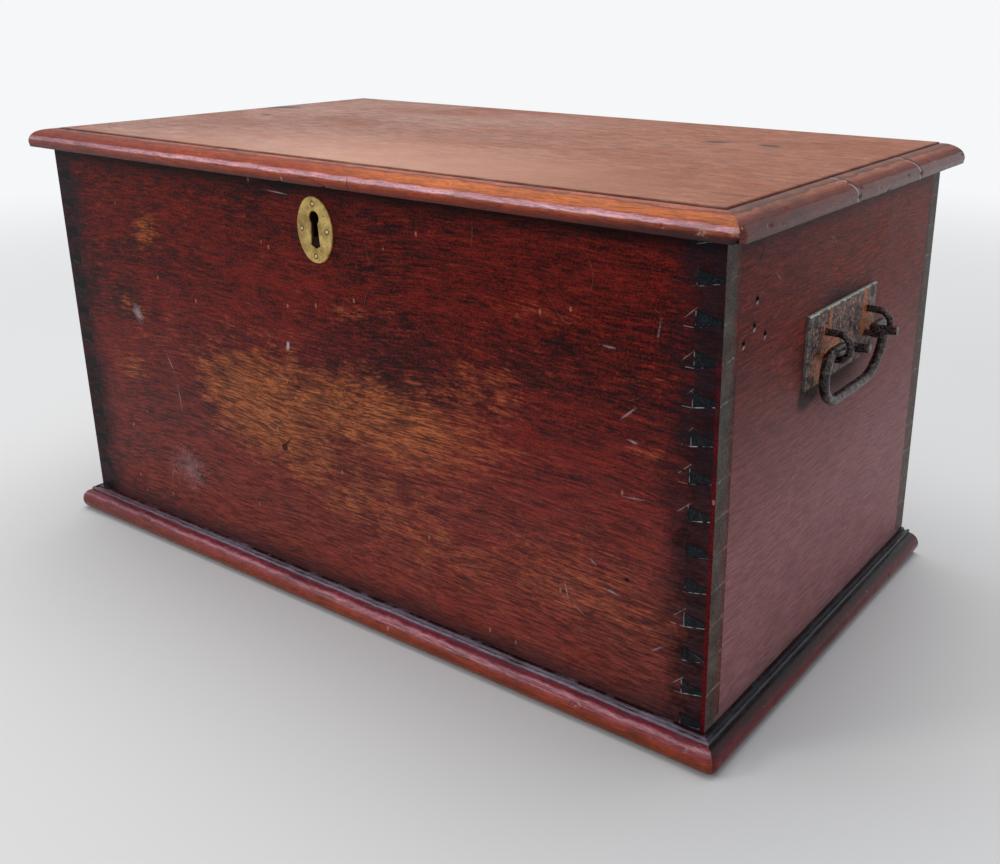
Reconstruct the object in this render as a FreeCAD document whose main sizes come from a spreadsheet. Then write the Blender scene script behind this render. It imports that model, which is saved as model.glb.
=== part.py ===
import FreeCAD, Part
import os
import Sketcher

# Storage chest with dovetailed boards, a mitred base moulding, a lid with a moulded edge on two
# butt hinges, a link-plate lock behind an oval escutcheon, and a wrought bail handle on each side.
# Millimetres. X runs along the front, Y from front to back, Z up. The origin lies on the floor,
# under the middle of the whole.

SIZES = (
    # Carcase
    ("carcase_width", 686, "walls, side to side"),
    ("carcase_depth", 377, "walls, front to back"),
    ("wall_top", 358.4, "top edge of the walls above the floor"),
    ("board", 19, "thickness of the four walls"),
    ("bottom_board", 12.7, "thickness of the bottom boards"),
    ("bottom_gap", 0.3, "gap between two bottom boards"),
    # Dovetails
    ("pin_count", 12, "full pins at a corner"),
    ("pin_narrow", 2.2, "height of a pin at the corner"),
    ("pin_wide", 10.5, "height of a pin at the inner face"),
    ("top_pin", 1.2, "height of the top half pin at the corner"),
    ("bottom_pin_rise", 5, "bottom half pin above the base moulding, at the corner"),
    # Mouldings
    ("moulding_projection", 17, "both mouldings, out from the walls"),
    ("corner_round", 8, "worn round of the front corners in plan"),
    ("base_height", 22, "base moulding"),
    ("nose_radius", 9.3, "half round of the base moulding"),
    ("bead_radius", 1.4, "bead above the half round"),
    ("fillet_width", 2.6, "flat top member of the base moulding"),
    ("fillet_drop", 1.7, "step from the flat top member to the bead"),
    # Lid
    ("lid_gap", 0.2, "between the walls and the lid"),
    ("lid_thickness", 16, "lid board"),
    ("back_overhang", 7, "lid beyond the back wall"),
    ("lid_moulding_height", 15.1, "lid moulding"),
    ("lid_moulding_inset", 5.2, "lid moulding inside the walls' outer faces"),
    ("lid_quirk_width", 1.2, "groove beside the lid board"),
    ("lid_quirk_depth", 0.9, "groove beside the lid board"),
    ("lid_nose_radius", 8.5, "round of the moulding's outer edge"),
    ("lid_nose_rise", 4, "widest place above the moulding's underside"),
    ("lid_undercut", 0.8, "slope of the edge below its widest place"),
    ("lid_arris", 0.7, "chamfer round the top of the lid board"),
    # Hinges
    ("hinge_length", 64, "leaf, along the pin"),
    ("hinge_inset", 128, "middle of a hinge from the wall's outer face"),
    ("hinge_leaf", 1.6, "leaf thickness"),
    ("hinge_leaf_width", 17.8, "leaf, from the pin's axis"),
    ("hinge_setback", 1.8, "pin axis behind the back wall"),
    ("knuckle_count", 5, "knuckles of a hinge"),
    ("knuckle_radius", 3.2, "knuckle"),
    ("knuckle_gap", 0.2, "between two knuckles"),
    ("hinge_relief", 0.3, "room round a knuckle"),
    ("hinge_pin_radius", 1.5, "pin"),
    ("hinge_pin_head", 2.4, "radius of the pin's heads"),
    ("hinge_head_depth", 1, "thickness of the pin's heads"),
    ("hinge_screw_count", 3, "screws in a leaf"),
    ("running_fit", 0.05, "radial room round a turning pin"),
    # Lock
    ("lock_width", 76, "back plate"),
    ("lock_height", 50, "back plate"),
    ("lock_plate", 2, "thickness of the back plate and its flange"),
    ("lock_reach", 12, "flange and case, into the wall"),
    ("case_width", 60, "case"),
    ("case_height", 46, "foot of the case below the wall's top"),
    ("case_wall", 1.2, "case"),
    ("case_ledge", 12, "guide under each end of the bolt"),
    ("lock_fit", 0.1, "room round the lock in its mortise"),
    ("lock_screw_inset", 4, "screws from the sides of the back plate"),
    ("lock_screw_drop", 9, "upper and lower screws from the ends of the plate"),
    ("bolt_length", 46, "bar of the bolt"),
    ("bolt_start", 26, "left end of the bar, left of the middle"),
    ("bolt_drop", 11.5, "top of the bar below the wall's top"),
    ("bolt_height", 6.5, "bar of the bolt"),
    ("bolt_thickness", 4, "bar and prongs, front to back"),
    ("bolt_setback", 5.2, "middle of the bolt from the wall's inner face"),
    ("bolt_fit", 0.2, "room under and beside the bolt"),
    ("prong_rise", 4.3, "top of the prongs below the wall's top"),
    ("prong_height", 4.4, "finger of a prong"),
    ("prong_root", 4, "width of a prong's upright"),
    ("prong_length", 10, "upright and finger together"),
    ("talon_width", 8, "notch that the key works in"),
    ("talon_depth", 3, "notch that the key works in"),
    ("link_spread", 24, "middle of one link to the other"),
    ("link_thickness", 3, "link, side to side"),
    ("link_width", 6, "link, front to back"),
    ("link_drop", 11, "link below the wall's top"),
    ("link_eye_width", 4.4, "eye of a link, front to back"),
    ("link_eye_height", 5, "eye of a link"),
    ("link_room", 0.5, "room round a link in the flange"),
    ("link_plate_length", 48, "plate in the lid"),
    ("link_plate_width", 12, "plate in the lid"),
    ("link_screw_spread", 40, "screws of the plate in the lid"),
    # Escutcheon and keyhole
    ("escutcheon_height", 51, "oval plate"),
    ("escutcheon_width", 38, "oval plate"),
    ("oval_end", 15.5, "radius of the oval's upper and lower ends"),
    ("escutcheon_plate", 1.5, "thickness"),
    ("escutcheon_bevel", 0.5, "chamfer of the front edge"),
    ("escutcheon_shift", -3, "middle of the plate, along the front"),
    ("escutcheon_drop", 36.4, "middle of the plate below the wall's top"),
    ("keyhole_rise", 9.2, "round of the hole above the plate's middle"),
    ("keyhole_radius", 5.2, "round of the hole in the plate"),
    ("keyhole_neck", 6.8, "width of the slot under the round"),
    ("keyhole_foot", 9.8, "width of the slot at its foot"),
    ("keyhole_foot_drop", 12, "foot of the slot below the plate's middle"),
    ("keyhole_point", 2.3, "point under the slot"),
    ("key_bore", 4.5, "radius of the round in the wood and the case"),
    ("key_slot", 5, "width of the slot in the wood and the case"),
    ("key_slot_drop", 14.7, "foot of that slot below the round's middle"),
    ("key_end", 2.6, "radius of the hole that takes the key's end"),
    ("escutcheon_pin_rise", 20, "upper and lower pins from the middle"),
    ("escutcheon_pin_reach", 13.5, "side pins from the middle"),
    ("escutcheon_pin_radius", 0.8, "shank"),
    ("escutcheon_pin_head", 1.5, "radius of the low head"),
    ("escutcheon_pin_dome", 0.7, "height of the low head"),
    ("escutcheon_pin_length", 7, "shank under the head"),
    # Handles
    ("handle_drop", 101.4, "middle of the plate below the wall's top"),
    ("handle_plate_length", 123, "iron plate"),
    ("handle_plate_height", 54, "iron plate"),
    ("handle_shift", 6, "middle of the plate in front of the walls' middle"),
    ("handle_plate", 3, "iron plate"),
    ("handle_bevel", 1, "chamfer of the plate's front edges"),
    ("handle_screw_spread", 105, "plate screws, front to back"),
    ("handle_screw_rise", 21, "plate screws from the plate's middle line"),
    ("staple_spread", 77, "middle of one staple to the other"),
    ("staple_radius", 9.5, "middle line of the staple's bow"),
    ("staple_rod", 2.8, "radius of the staple's wire"),
    ("staple_rise", 0.5, "middle of the staple above the plate's middle"),
    ("staple_fit", 0.05, "room round a leg in the plate"),
    ("pivot_reach", 12, "bail's axis out from the wall"),
    ("bail_rod", 4, "radius of the bail's rod"),
    ("bail_play", 0.3, "bail above the staple's lower leg"),
    ("bail_half_span", 55.5, "middle of the rod at its widest, from the middle"),
    ("bail_depth", 40.5, "grip below the axis"),
    ("bail_shoulder", 11, "radius of the turn outside the staple"),
    ("bail_tip_turn", 6, "radius of the turn at the end"),
    ("bail_tip_spread", 27, "middle of a turned-out end from the middle"),
    ("bail_tip_reach", 19.5, "turned-out end beyond the axis"),
    # Fasteners
    ("drill_room", 0.05, "room round a fastener in its hole"),
    ("screw_head", 2.8, "radius of a small screw's head"),
    ("screw_shank", 1.4, "radius of a small screw"),
    ("screw_length", 12, "small screw"),
    ("handle_screw_head", 4, "radius of a plate screw's head"),
    ("handle_screw_shank", 2, "radius of a plate screw"),
    ("handle_screw_length", 17, "plate screw"),
    ("nail_radius", 1.5, "bottom nail"),
    ("nail_head", 3, "radius of a bottom nail's head"),
    ("nail_head_depth", 1.2, "bottom nail's head"),
    ("nail_sink", 1, "head above the underside"),
    ("nail_length", 38, "bottom nail under its head"),
    ("brad_radius", 0.9, "brad in a moulding"),
    ("base_brad_rise", 16.5, "brads above the floor"),
    ("base_brad_start", 11, "outer end of a base brad, out from the wall"),
    ("base_brad_length", 26, "base brad"),
    ("lid_brad_start", 13, "outer end of a lid brad, out from the wall"),
    ("lid_brad_length", 36, "lid brad"),
    ("old_hole_radius", 1.7, "old nail holes in the right wall"),
    ("old_hole_depth", 8, "old nail holes in the right wall"),
    # Cuts
    ("overrun", 5, "how far a cutting shape runs past what it cuts"),
)

BOTTOM_BOARDS = ("front", "middle", "back")

DERIVED = (
    ("side_face", "carcase_width / 2", "right wall's outer face"),
    ("front_face", "(moulding_projection - back_overhang - carcase_depth) / 2", "front wall's face"),
    ("back_face", "front_face + carcase_depth", "back wall's face"),
    ("middle", "front_face + carcase_depth / 2", "middle of the walls, front to back"),
    ("inner_face", "front_face + board", "front wall's inner face"),
    ("wall_height", "wall_top - bottom_board", "height of the walls"),
    ("bottom_width", "carcase_depth / %d" % len(BOTTOM_BOARDS), "one bottom board with its gap"),
    ("pin_flare", "(pin_wide - pin_narrow) / 2", "slope of a pin's side over a board"),
    ("bottom_pin", "base_height + bottom_pin_rise", "top of the bottom half pin at the corner"),
    ("pin_pitch", "(wall_top - top_pin - bottom_pin + pin_narrow) / (pin_count + 1)", "pin to pin"),
    ("first_pin", "bottom_pin + pin_pitch - pin_narrow / 2", "middle of the lowest full pin"),
    ("base_step", "moulding_projection - nose_radius", "flat above the half round"),
    ("lid_base", "wall_top + lid_gap", "underside of the lid"),
    ("lid_top", "lid_base + lid_thickness", "top of the lid"),
    ("lid_back", "back_face + back_overhang", "back edge of the lid"),
    ("crown_reach", "moulding_projection - lid_nose_radius", "middle of the nose, out from the wall"),
    ("crown_rise", "lid_moulding_height - lid_nose_rise", "crown above the nose's middle"),
    ("crown_radius", "(crown_reach ^ 2 + crown_rise ^ 2 - lid_nose_radius ^ 2)"
     " / (2 * (crown_rise - lid_nose_radius))", "slow curve of the lid moulding"),
    ("crown_share", "lid_nose_radius / (crown_radius - lid_nose_radius)", "where the curves meet"),
    ("pin_axis_y", "back_face + hinge_setback", "hinge axis"),
    ("pin_axis_z", "wall_top + lid_gap / 2", "hinge axis"),
    ("knuckle_pitch", "hinge_length / knuckle_count", "knuckle to knuckle"),
    ("relief_radius", "knuckle_radius + hinge_relief", "hollow for a knuckle"),
    ("bolt_y", "inner_face - bolt_setback", "middle of the bolt and of the links"),
    ("escutcheon_z", "wall_top - escutcheon_drop", "middle of the escutcheon"),
    ("keyhole_z", "escutcheon_z + keyhole_rise", "round of the keyhole"),
    ("oval_rise", "escutcheon_height / 2 - oval_end", "middle of an end's curve"),
    ("oval_flank", "(oval_rise ^ 2 + escutcheon_width ^ 2 / 4 - oval_end ^ 2)"
     " / (escutcheon_width - 2 * oval_end)", "radius of the oval's sides"),
    ("oval_throw", "oval_flank - oval_end", "from the middle of a side's curve to that of an end's"),
    ("oval_lean", "(oval_flank - escutcheon_width / 2) / oval_throw", "where the two curves meet"),
    ("handle_z", "wall_top - handle_drop", "middle of the handle plates"),
    ("staple_z", "handle_z + staple_rise", "middle of the staples"),
    ("pivot_z", "staple_z - staple_radius + staple_rod + bail_rod + bail_play", "axis of the bails"),
    ("bail_bend", "bail_depth - bail_shoulder", "radius of the bend beside the grip"),
)

# Degrees: how far a bail hangs inwards, and how far its turned-out ends lift from square
HANG_ANGLE = 4.3
TIP_ANGLE = 9

# Places along a piece, as shares of its length from its middle
BOTTOM_NAIL_SHARES = (-0.44, -0.22, 0, 0.22, 0.44)
FRONT_BRAD_SHARES = (-0.42, -0.14, 0.14, 0.42)
SIDE_BRAD_SHARES = (-0.42, -0.17, 0.17, 0.42)
# Old nail holes in the right wall: shares of its depth from the front, and of the walls' height
OLD_HOLE_SHARES = ((0.113, 0.870), (0.107, 0.821), (0.149, 0.796), (0.071, 0.797))

X, Y, Z = FreeCAD.Vector(1, 0, 0), FreeCAD.Vector(0, 1, 0), FreeCAD.Vector(0, 0, 1)

doc = FreeCAD.newDocument("storage_chest")
dim = doc.addObject("Spreadsheet::Sheet", "dim")
nodes = {}


def fill_sheet():
    """One row for each size: its name, its value or formula, and what it is."""
    rows = [(name, str(value), note) for name, value, note in SIZES]
    rows += [(name, "=" + formula, note) for name, formula, note in DERIVED]
    for row, (name, content, note) in enumerate(rows, 1):
        dim.set("A%d" % row, name)
        dim.set("B%d" % row, content)
        dim.set("C%d" % row, note)
        dim.setAlias("B%d" % row, name)
    doc.recompute()


def value(expression):
    """The number that an expression on the sheet gives now."""
    return float(dim.evalExpression(expression))


def bind(thing, **expressions):
    """Tie properties to expressions on the sheet; x, y and z stand for the place."""
    for name, expression in expressions.items():
        path = "Placement.Base." + name if name in "xyz" else name
        thing.setExpression(path, expression)
    return thing


# Primitives

def box(x0, x1, y0, y1, z0, z1):
    """Box between two places along each axis."""
    return bind(doc.addObject("Part::Box", "box"), x=x0, y=y0, z=z0,
                Length="(%s) - (%s)" % (x1, x0), Width="(%s) - (%s)" % (y1, y0),
                Height="(%s) - (%s)" % (z1, z0))


def rod(way, radius, length, x, y, z):
    """Cylinder from a place along a direction."""
    cylinder = doc.addObject("Part::Cylinder", "rod")
    cylinder.Placement.Rotation = FreeCAD.Rotation(Z, way)
    return bind(cylinder, x=x, y=y, z=z, Radius=radius, Height=length)


def cone(way, wide, narrow, length, x, y, z):
    """Cone from its wide end at a place along a direction."""
    tapered = doc.addObject("Part::Cone", "cone")
    tapered.Placement.Rotation = FreeCAD.Rotation(Z, way)
    return bind(tapered, x=x, y=y, z=z, Radius1=wide, Radius2=narrow, Height=length)


def fuse(*things):
    """Several touching shapes as one solid."""
    joined = doc.addObject("Part::MultiFuse", "fuse")
    joined.Shapes = list(things)
    return joined


def group(things):
    """Separate solids held together as one object."""
    held = doc.addObject("Part::Compound", "group")
    held.Links = list(things)
    return held


def carve(base, *tools):
    """The base with each tool cut out of it."""
    for tool in tools:
        cut = doc.addObject("Part::Cut", "cut")
        cut.Base, cut.Tool = base, tool
        base = cut
    return base


def keep(name, thing):
    """Name a finished sub-part."""
    thing.Label = name
    nodes[name] = thing


# Bodies made from sketches

def origin_feature(body, role):
    return [feature for feature in body.Origin.OriginFeatures if feature.Role == role][0]


def new_body(name):
    return doc.addObject("PartDesign::Body", name + "_body")


def sketch_on(body, plane, offset=None):
    """Sketch on one of the body's origin planes, or a distance in front of it."""
    sketch = body.newObject("Sketcher::SketchObject", "sketch")
    sketch.AttachmentSupport = [(origin_feature(body, plane), "")]
    sketch.MapMode = "FlatFace"
    if offset:
        sketch.setExpression("AttachmentOffset.Base.z", offset)
    return sketch


def draw_arc(sketch, start, end, radius, turn):
    """Arc of under a half circle from start to end that turns left (1) or right (-1)."""
    chord = end - start
    half = chord.Length / 2
    across = FreeCAD.Vector(-chord.y, chord.x, 0).normalize()
    centre = start + chord / 2 + across * turn * max(radius ** 2 - half ** 2, 0) ** 0.5
    first, last = (start, end) if turn > 0 else (end, start)
    begin = X.getAngle(first - centre) * (1 if first.y >= centre.y else -1)
    finish = X.getAngle(last - centre) * (1 if last.y >= centre.y else -1)
    circle = Part.Circle(centre, Z, radius)
    return sketch.addGeometry(Part.ArcOfCircle(circle, begin, finish))


def draw(sketch, corners, closed=True):
    """Lines and arcs through corners, each placed by expressions.

    A corner is (across, up) at the end of a straight side, or (across, up, radius, turn) at the
    end of an arc that turns left (1) or right (-1). A closed outline starts from its last corner.
    """
    spots = [FreeCAD.Vector(value(corner[0]), value(corner[1]), 0) for corner in corners]
    edges = []
    for index in range(0 if closed else 1, len(corners)):
        corner = corners[index]
        start, end = spots[index - 1], spots[index]
        if len(corner) == 2:
            edge = sketch.addGeometry(Part.LineSegment(start, end))
            ends = (1, 2)
        else:
            radius, turn = corner[2:]
            edge = draw_arc(sketch, start, end, value(radius), turn)
            ends = (1, 2) if turn > 0 else (2, 1)
            fix(sketch, radius, "Radius", edge)
        edges.append((edge, ends))
        if not closed and index == 1:
            fix(sketch, corners[0][0], "DistanceX", -1, 1, edge, ends[0])
            fix(sketch, corners[0][1], "DistanceY", -1, 1, edge, ends[0])
        fix(sketch, corner[0], "DistanceX", -1, 1, edge, ends[1])
        fix(sketch, corner[1], "DistanceY", -1, 1, edge, ends[1])
    for (edge, ends), (following, next_ends) in zip(edges, edges[1:] + edges[:1 if closed else 0]):
        sketch.addConstraint(Sketcher.Constraint("Coincident", edge, ends[1], following, next_ends[0]))
    return sketch


def fix(sketch, expression, kind, *places):
    """Constraint whose value follows an expression."""
    constraint = Sketcher.Constraint(kind, *places, value(expression))
    sketch.setExpression("Constraints[%d]" % sketch.addConstraint(constraint), expression)


def draw_circle(sketch, across, up, radius):
    centre = FreeCAD.Vector(value(across), value(up), 0)
    circle = sketch.addGeometry(Part.Circle(centre, Z, value(radius)))
    fix(sketch, across, "DistanceX", -1, 1, circle, 3)
    fix(sketch, up, "DistanceY", -1, 1, circle, 3)
    fix(sketch, radius, "Radius", circle)
    return sketch


def rectangle(across0, across1, up0, up1):
    return [(across0, up0), (across1, up0), (across1, up1), (across0, up1)]


def pad(body, sketch, length):
    """Solid of the sketch, the same length to both sides of its plane."""
    feature = body.newObject("PartDesign::Pad", "pad")
    feature.Profile = sketch
    feature.Midplane = True
    feature.setExpression("Length", length)
    return feature


def pocket(body, sketch):
    """Cut of the sketch through the whole body."""
    feature = body.newObject("PartDesign::Pocket", "pocket")
    feature.Profile = sketch
    feature.Midplane = True
    feature.Type = "ThroughAll"
    return feature


def row(body, feature):
    """Repeat a feature upwards, once for each full pin."""
    pattern = body.newObject("PartDesign::LinearPattern", "row")
    pattern.Originals = [feature]
    pattern.Direction = (origin_feature(body, "Z_Axis"), [""])
    pattern.setExpression("Length", "dim.pin_pitch * (dim.pin_count - 1)")
    pattern.setExpression("Occurrences", "dim.pin_count")
    body.Tip = pattern
    return pattern


def mirror(body, feature, plane):
    """Repeat features on the other side of an origin plane."""
    mirrored = body.newObject("PartDesign::Mirrored", "mirrored")
    mirrored.Originals = feature
    mirrored.MirrorPlane = (origin_feature(body, plane), [""])
    body.Tip = mirrored
    return mirrored


def chamfer(body, feature, way, size):
    """Bevel all edges of the face that looks a way."""
    doc.recompute()
    faces = ["Face%d" % index for index, face in enumerate(feature.Shape.Faces, 1)
             if face.normalAt(0, 0).dot(way) > 1 - 1e-6]
    bevel = body.newObject("PartDesign::Chamfer", "bevel")
    bevel.Base = (feature, faces)
    bevel.setExpression("Size", size)
    return bevel


def pipe(body, section, spine):
    """Rod of a round section along a sketched line."""
    feature = body.newObject("PartDesign::AdditivePipe", "pipe")
    feature.Profile = section
    feature.Spine = (spine, [])
    return feature


# Fasteners, each from the middle of its head along the way that it is driven

def screw(way, x, y, z, kind="screw", room="0"):
    """Countersunk screw, or its hole when room is given."""
    head, shank = "dim.%s_head + %s" % (kind, room), "dim.%s_shank + %s" % (kind, room)
    return fuse(cone(way, head, shank, "dim.%s_head - dim.%s_shank" % (kind, kind), x, y, z),
                rod(way, shank, "dim.%s_length + %s" % (kind, room), x, y, z))


def nail(x, y, room="0"):
    """Nail driven up from under the bottom boards, or its hole when room is given."""
    deep = "dim.nail_sink" if room == "0" else "-dim.overrun"
    head_top = "dim.nail_sink + dim.nail_head_depth"
    return fuse(rod(Z, "dim.nail_head + " + room, "%s - (%s)" % (head_top, deep), x, y, deep),
                rod(Z, "dim.nail_radius + " + room, "dim.nail_length + " + room, x, y, head_top))


def brad(way, length, x, y, z, room="0"):
    """Headless brad inside the wood, or its hole when room is given."""
    return rod(way, "dim.brad_radius + " + room, length, x, y, z)


ROOM = "dim.drill_room"


def bottom_nail_places():
    """(x, y, bottom board, wall) of each nail."""
    places = []
    for share in BOTTOM_NAIL_SHARES:
        along = "dim.carcase_width * %s" % share
        places.append((along, "dim.front_face + dim.board / 2", "front", "front"))
        places.append((along, "dim.back_face - dim.board / 2", "back", "back"))
    for index, board in enumerate(BOTTOM_BOARDS):
        across = "dim.front_face + dim.bottom_width * (%d + 1 / 2)" % index
        places.append(("-(dim.side_face - dim.board / 2)", across, board, "left"))
        places.append(("dim.side_face - dim.board / 2", across, board, "right"))
    return places


def brad_places(start, length, height):
    """(way, length, x, y, z, side) of each brad of one moulding."""
    places = []
    for share in FRONT_BRAD_SHARES:
        along = "dim.carcase_width * %s" % share
        places.append((Y, length, along, "dim.front_face - " + start, height, "front"))
    for share in SIDE_BRAD_SHARES:
        along = "dim.middle + dim.carcase_depth * %s" % share
        places.append((X, length, "-(dim.side_face + %s)" % start, along, height, "left"))
        places.append((-X, length, "dim.side_face + " + start, along, height, "right"))
    return places


def base_brads():
    return brad_places("dim.base_brad_start", "dim.base_brad_length", "dim.base_brad_rise")


def lid_brads():
    return brad_places("dim.lid_brad_start", "dim.lid_brad_length",
                       "dim.lid_base + dim.lid_thickness / 2")


def nail_holes(part, place):
    """Holes of the bottom nails in one bottom board (part 2) or wall (part 3)."""
    return group([nail(spot[0], spot[1], ROOM) for spot in bottom_nail_places()
                  if spot[part] == place])


def brad_holes(places, side=None):
    """Holes of a moulding's brads, on one side or all round."""
    return group([brad(*spot[:5], room=ROOM) for spot in places if side in (None, spot[5])])


# Walls: pins on the side boards, tails on the front and back boards

def pin_outline(side, height):
    """One full pin at a corner: narrow at the wall's outer face, wide at its inner face."""
    outer, inner = "%s * dim.side_face" % side, "%s * (dim.side_face - dim.board)" % side
    return [(inner, height + " - dim.pin_wide / 2"), (outer, height + " - dim.pin_narrow / 2"),
            (outer, height + " + dim.pin_narrow / 2"), (inner, height + " + dim.pin_wide / 2")]


def bottom_pin_outline(side):
    outer, inner = "%s * dim.side_face" % side, "%s * (dim.side_face - dim.board)" % side
    return [(inner, "dim.bottom_board"), (outer, "dim.bottom_board"), (outer, "dim.bottom_pin"),
            (inner, "dim.bottom_pin + dim.pin_flare")]


def top_pin_outline(side):
    outer, inner = "%s * dim.side_face" % side, "%s * (dim.side_face - dim.board)" % side
    return [(inner, "dim.wall_top - dim.top_pin - dim.pin_flare"),
            (outer, "dim.wall_top - dim.top_pin"), (outer, "dim.wall_top"), (inner, "dim.wall_top")]


def side_board(side):
    """Board with its pins, which run through the front and back boards."""
    body = new_body("side_board")
    body.setExpression("Placement.Base.y", "dim.middle")
    wall = rectangle("%s * (dim.side_face - dim.board)" % side, "%s * dim.side_face" % side,
                     "dim.bottom_board", "dim.wall_top")
    pad(body, draw(sketch_on(body, "XZ_Plane"), wall), "dim.carcase_depth - 2 * dim.board")
    pin = draw(sketch_on(body, "XZ_Plane"), pin_outline(side, "dim.first_pin"))
    row(body, pad(body, pin, "dim.carcase_depth"))
    for half in (bottom_pin_outline(side), top_pin_outline(side)):
        pad(body, draw(sketch_on(body, "XZ_Plane"), half), "dim.carcase_depth")
    return body


def tail_board(place):
    """Front or back board: the sockets between its tails take the pins."""
    body = new_body("tail_board")
    body.setExpression("Placement.Base.y", place)
    wall = rectangle("-dim.side_face", "dim.side_face", "dim.bottom_board", "dim.wall_top")
    pad(body, draw(sketch_on(body, "XZ_Plane"), wall), "dim.board")
    sockets = sketch_on(body, "XZ_Plane")
    for side in (-1, 1):
        draw(sockets, pin_outline(side, "dim.first_pin"))
    row(body, pocket(body, sockets))
    for outline in (bottom_pin_outline, top_pin_outline):
        halves = sketch_on(body, "XZ_Plane")
        for side in (-1, 1):
            draw(halves, outline(side))
        pocket(body, halves)
    return body


# Mouldings: a run of one profile, mitred and rounded in plan at the front corners

def base_profile():
    """(out, up, ...) of the base moulding: flat, bead and half round."""
    bead = "dim.base_step - dim.bead_radius"
    step = "dim.base_height - dim.fillet_drop"
    return [("0", "0"), ("0", "dim.base_height"), ("dim.fillet_width", "dim.base_height"),
            ("dim.fillet_width", step), ("dim.base_step - 2 * dim.bead_radius", step),
            (bead, step + " + dim.bead_radius", "dim.bead_radius", -1),
            ("dim.base_step", step, "dim.bead_radius", -1),
            ("dim.base_step", "2 * dim.nose_radius"),
            ("dim.moulding_projection", "dim.nose_radius", "dim.nose_radius", -1),
            ("dim.base_step", "0", "dim.nose_radius", -1)]


def lid_profile():
    """(out, up, ...) of the lid moulding: groove, slow crown and tight nose."""
    groove = "dim.lid_quirk_width - dim.lid_moulding_inset"
    low = "dim.lid_moulding_height - dim.lid_quirk_depth"
    meet = ("dim.crown_reach * (1 + dim.crown_share)",
            "dim.lid_nose_rise + (dim.crown_radius - dim.crown_rise) * dim.crown_share")
    corners = [("-dim.lid_moulding_inset", "0"), ("-dim.lid_moulding_inset", low), (groove, low),
               (groove, "dim.lid_moulding_height"), ("0", "dim.lid_moulding_height"),
               (*meet, "dim.crown_radius", -1),
               ("dim.moulding_projection", "dim.lid_nose_rise", "dim.lid_nose_radius", -1),
               ("dim.moulding_projection - dim.lid_undercut", "0")]
    return [(corner[0], "dim.lid_base + " + corner[1], *corner[2:]) for corner in corners]


def run_outwards(profile, face, way):
    """The profile beside a wall's face, running out along plus (1) or minus (-1)."""
    return [("%s + %d * (%s)" % (face, way, corner[0]), corner[1],
             *((corner[2], corner[3] * way) if len(corner) > 2 else ())) for corner in profile]


def corner_cut(side, piece):
    """Outline in plan of what a mitre and the worn round take off a front or side length."""
    rounding = "(dim.moulding_projection - dim.corner_round * (1 - sqrt(2) / 2))"
    past = "(dim.moulding_projection + dim.overrun)"
    tangent = "(dim.moulding_projection - dim.corner_round)"
    inner = "-(dim.lid_moulding_inset + dim.overrun)"
    if piece == "front":
        turn = -side
        spots = [(inner, inner), (rounding, rounding),
                 (tangent, "dim.moulding_projection", "dim.corner_round", turn),
                 (tangent, past), (past, past), (past, inner)]
    else:
        turn = side
        spots = [(inner, inner), (rounding, rounding),
                 ("dim.moulding_projection", tangent, "dim.corner_round", turn),
                 (past, tangent), (past, past), (inner, past)]
    return [("%d * (dim.side_face + %s)" % (side, spot[0]), "dim.front_face - " + spot[1],
             *spot[2:]) for spot in spots]


def front_moulding(profile):
    body = new_body("front_moulding")
    section = draw(sketch_on(body, "YZ_Plane"), run_outwards(profile, "dim.front_face", -1))
    pad(body, section, "2 * (dim.side_face + dim.moulding_projection)")
    for side in (-1, 1):
        pocket(body, draw(sketch_on(body, "XY_Plane"), corner_cut(side, "front")))
    return body


def side_moulding(side, profile, back):
    body = new_body("side_moulding")
    front = "(dim.front_face - dim.moulding_projection)"
    body.setExpression("Placement.Base.y", "(%s + %s) / 2" % (front, back))
    section = run_outwards(profile, "%d * dim.side_face" % side, side)
    pad(body, draw(sketch_on(body, "XZ_Plane"), section), "%s - %s" % (back, front))
    cut = [(spot[0], "%s - (%s + %s) / 2" % (spot[1], front, back), *spot[2:])
           for spot in corner_cut(side, "side")]
    pocket(body, draw(sketch_on(body, "XY_Plane"), cut))
    return body


# Hinges

def knuckles(start, indices, radius, room="0"):
    """Barrels at some of the knuckles' places along the pin, with room at both ends."""
    return [rod(X, radius, "dim.knuckle_pitch - dim.knuckle_gap + 2 * %s" % room,
                "%s + %d * dim.knuckle_pitch + dim.knuckle_gap / 2 - %s" % (start, index, room),
                "dim.pin_axis_y", "dim.pin_axis_z") for index in indices]


def hinge_screws(middle, way, height, room="0"):
    """A leaf's screws in a row along the middle of the wall's edge."""
    count = int(value("dim.hinge_screw_count"))
    shares = [(index + 0.5) / count - 0.5 for index in range(count)]
    return [screw(way, "%s + dim.hinge_length * %s" % (middle, share),
                  "dim.back_face - dim.board / 2", height, room=room) for share in shares]


def hinge_leaf(middle, own, others, low, high, way, head_height):
    """Leaf with its own knuckles, hollowed where the other leaf's knuckles turn."""
    start = "%s - dim.hinge_length / 2" % middle
    plate = box(start, "%s + dim.hinge_length / 2" % middle,
                "dim.pin_axis_y - dim.hinge_leaf_width", "dim.pin_axis_y", low, high)
    hollows = group(knuckles(start, others, "dim.relief_radius", "dim.knuckle_gap"))
    bore = rod(X, "dim.hinge_pin_radius + dim.running_fit", "dim.hinge_length + 2 * dim.overrun",
               start + " - dim.overrun", "dim.pin_axis_y", "dim.pin_axis_z")
    leaf = fuse(carve(plate, hollows), *knuckles(start, own, "dim.knuckle_radius"))
    return carve(leaf, bore, group(hinge_screws(middle, way, head_height, ROOM)))


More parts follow.
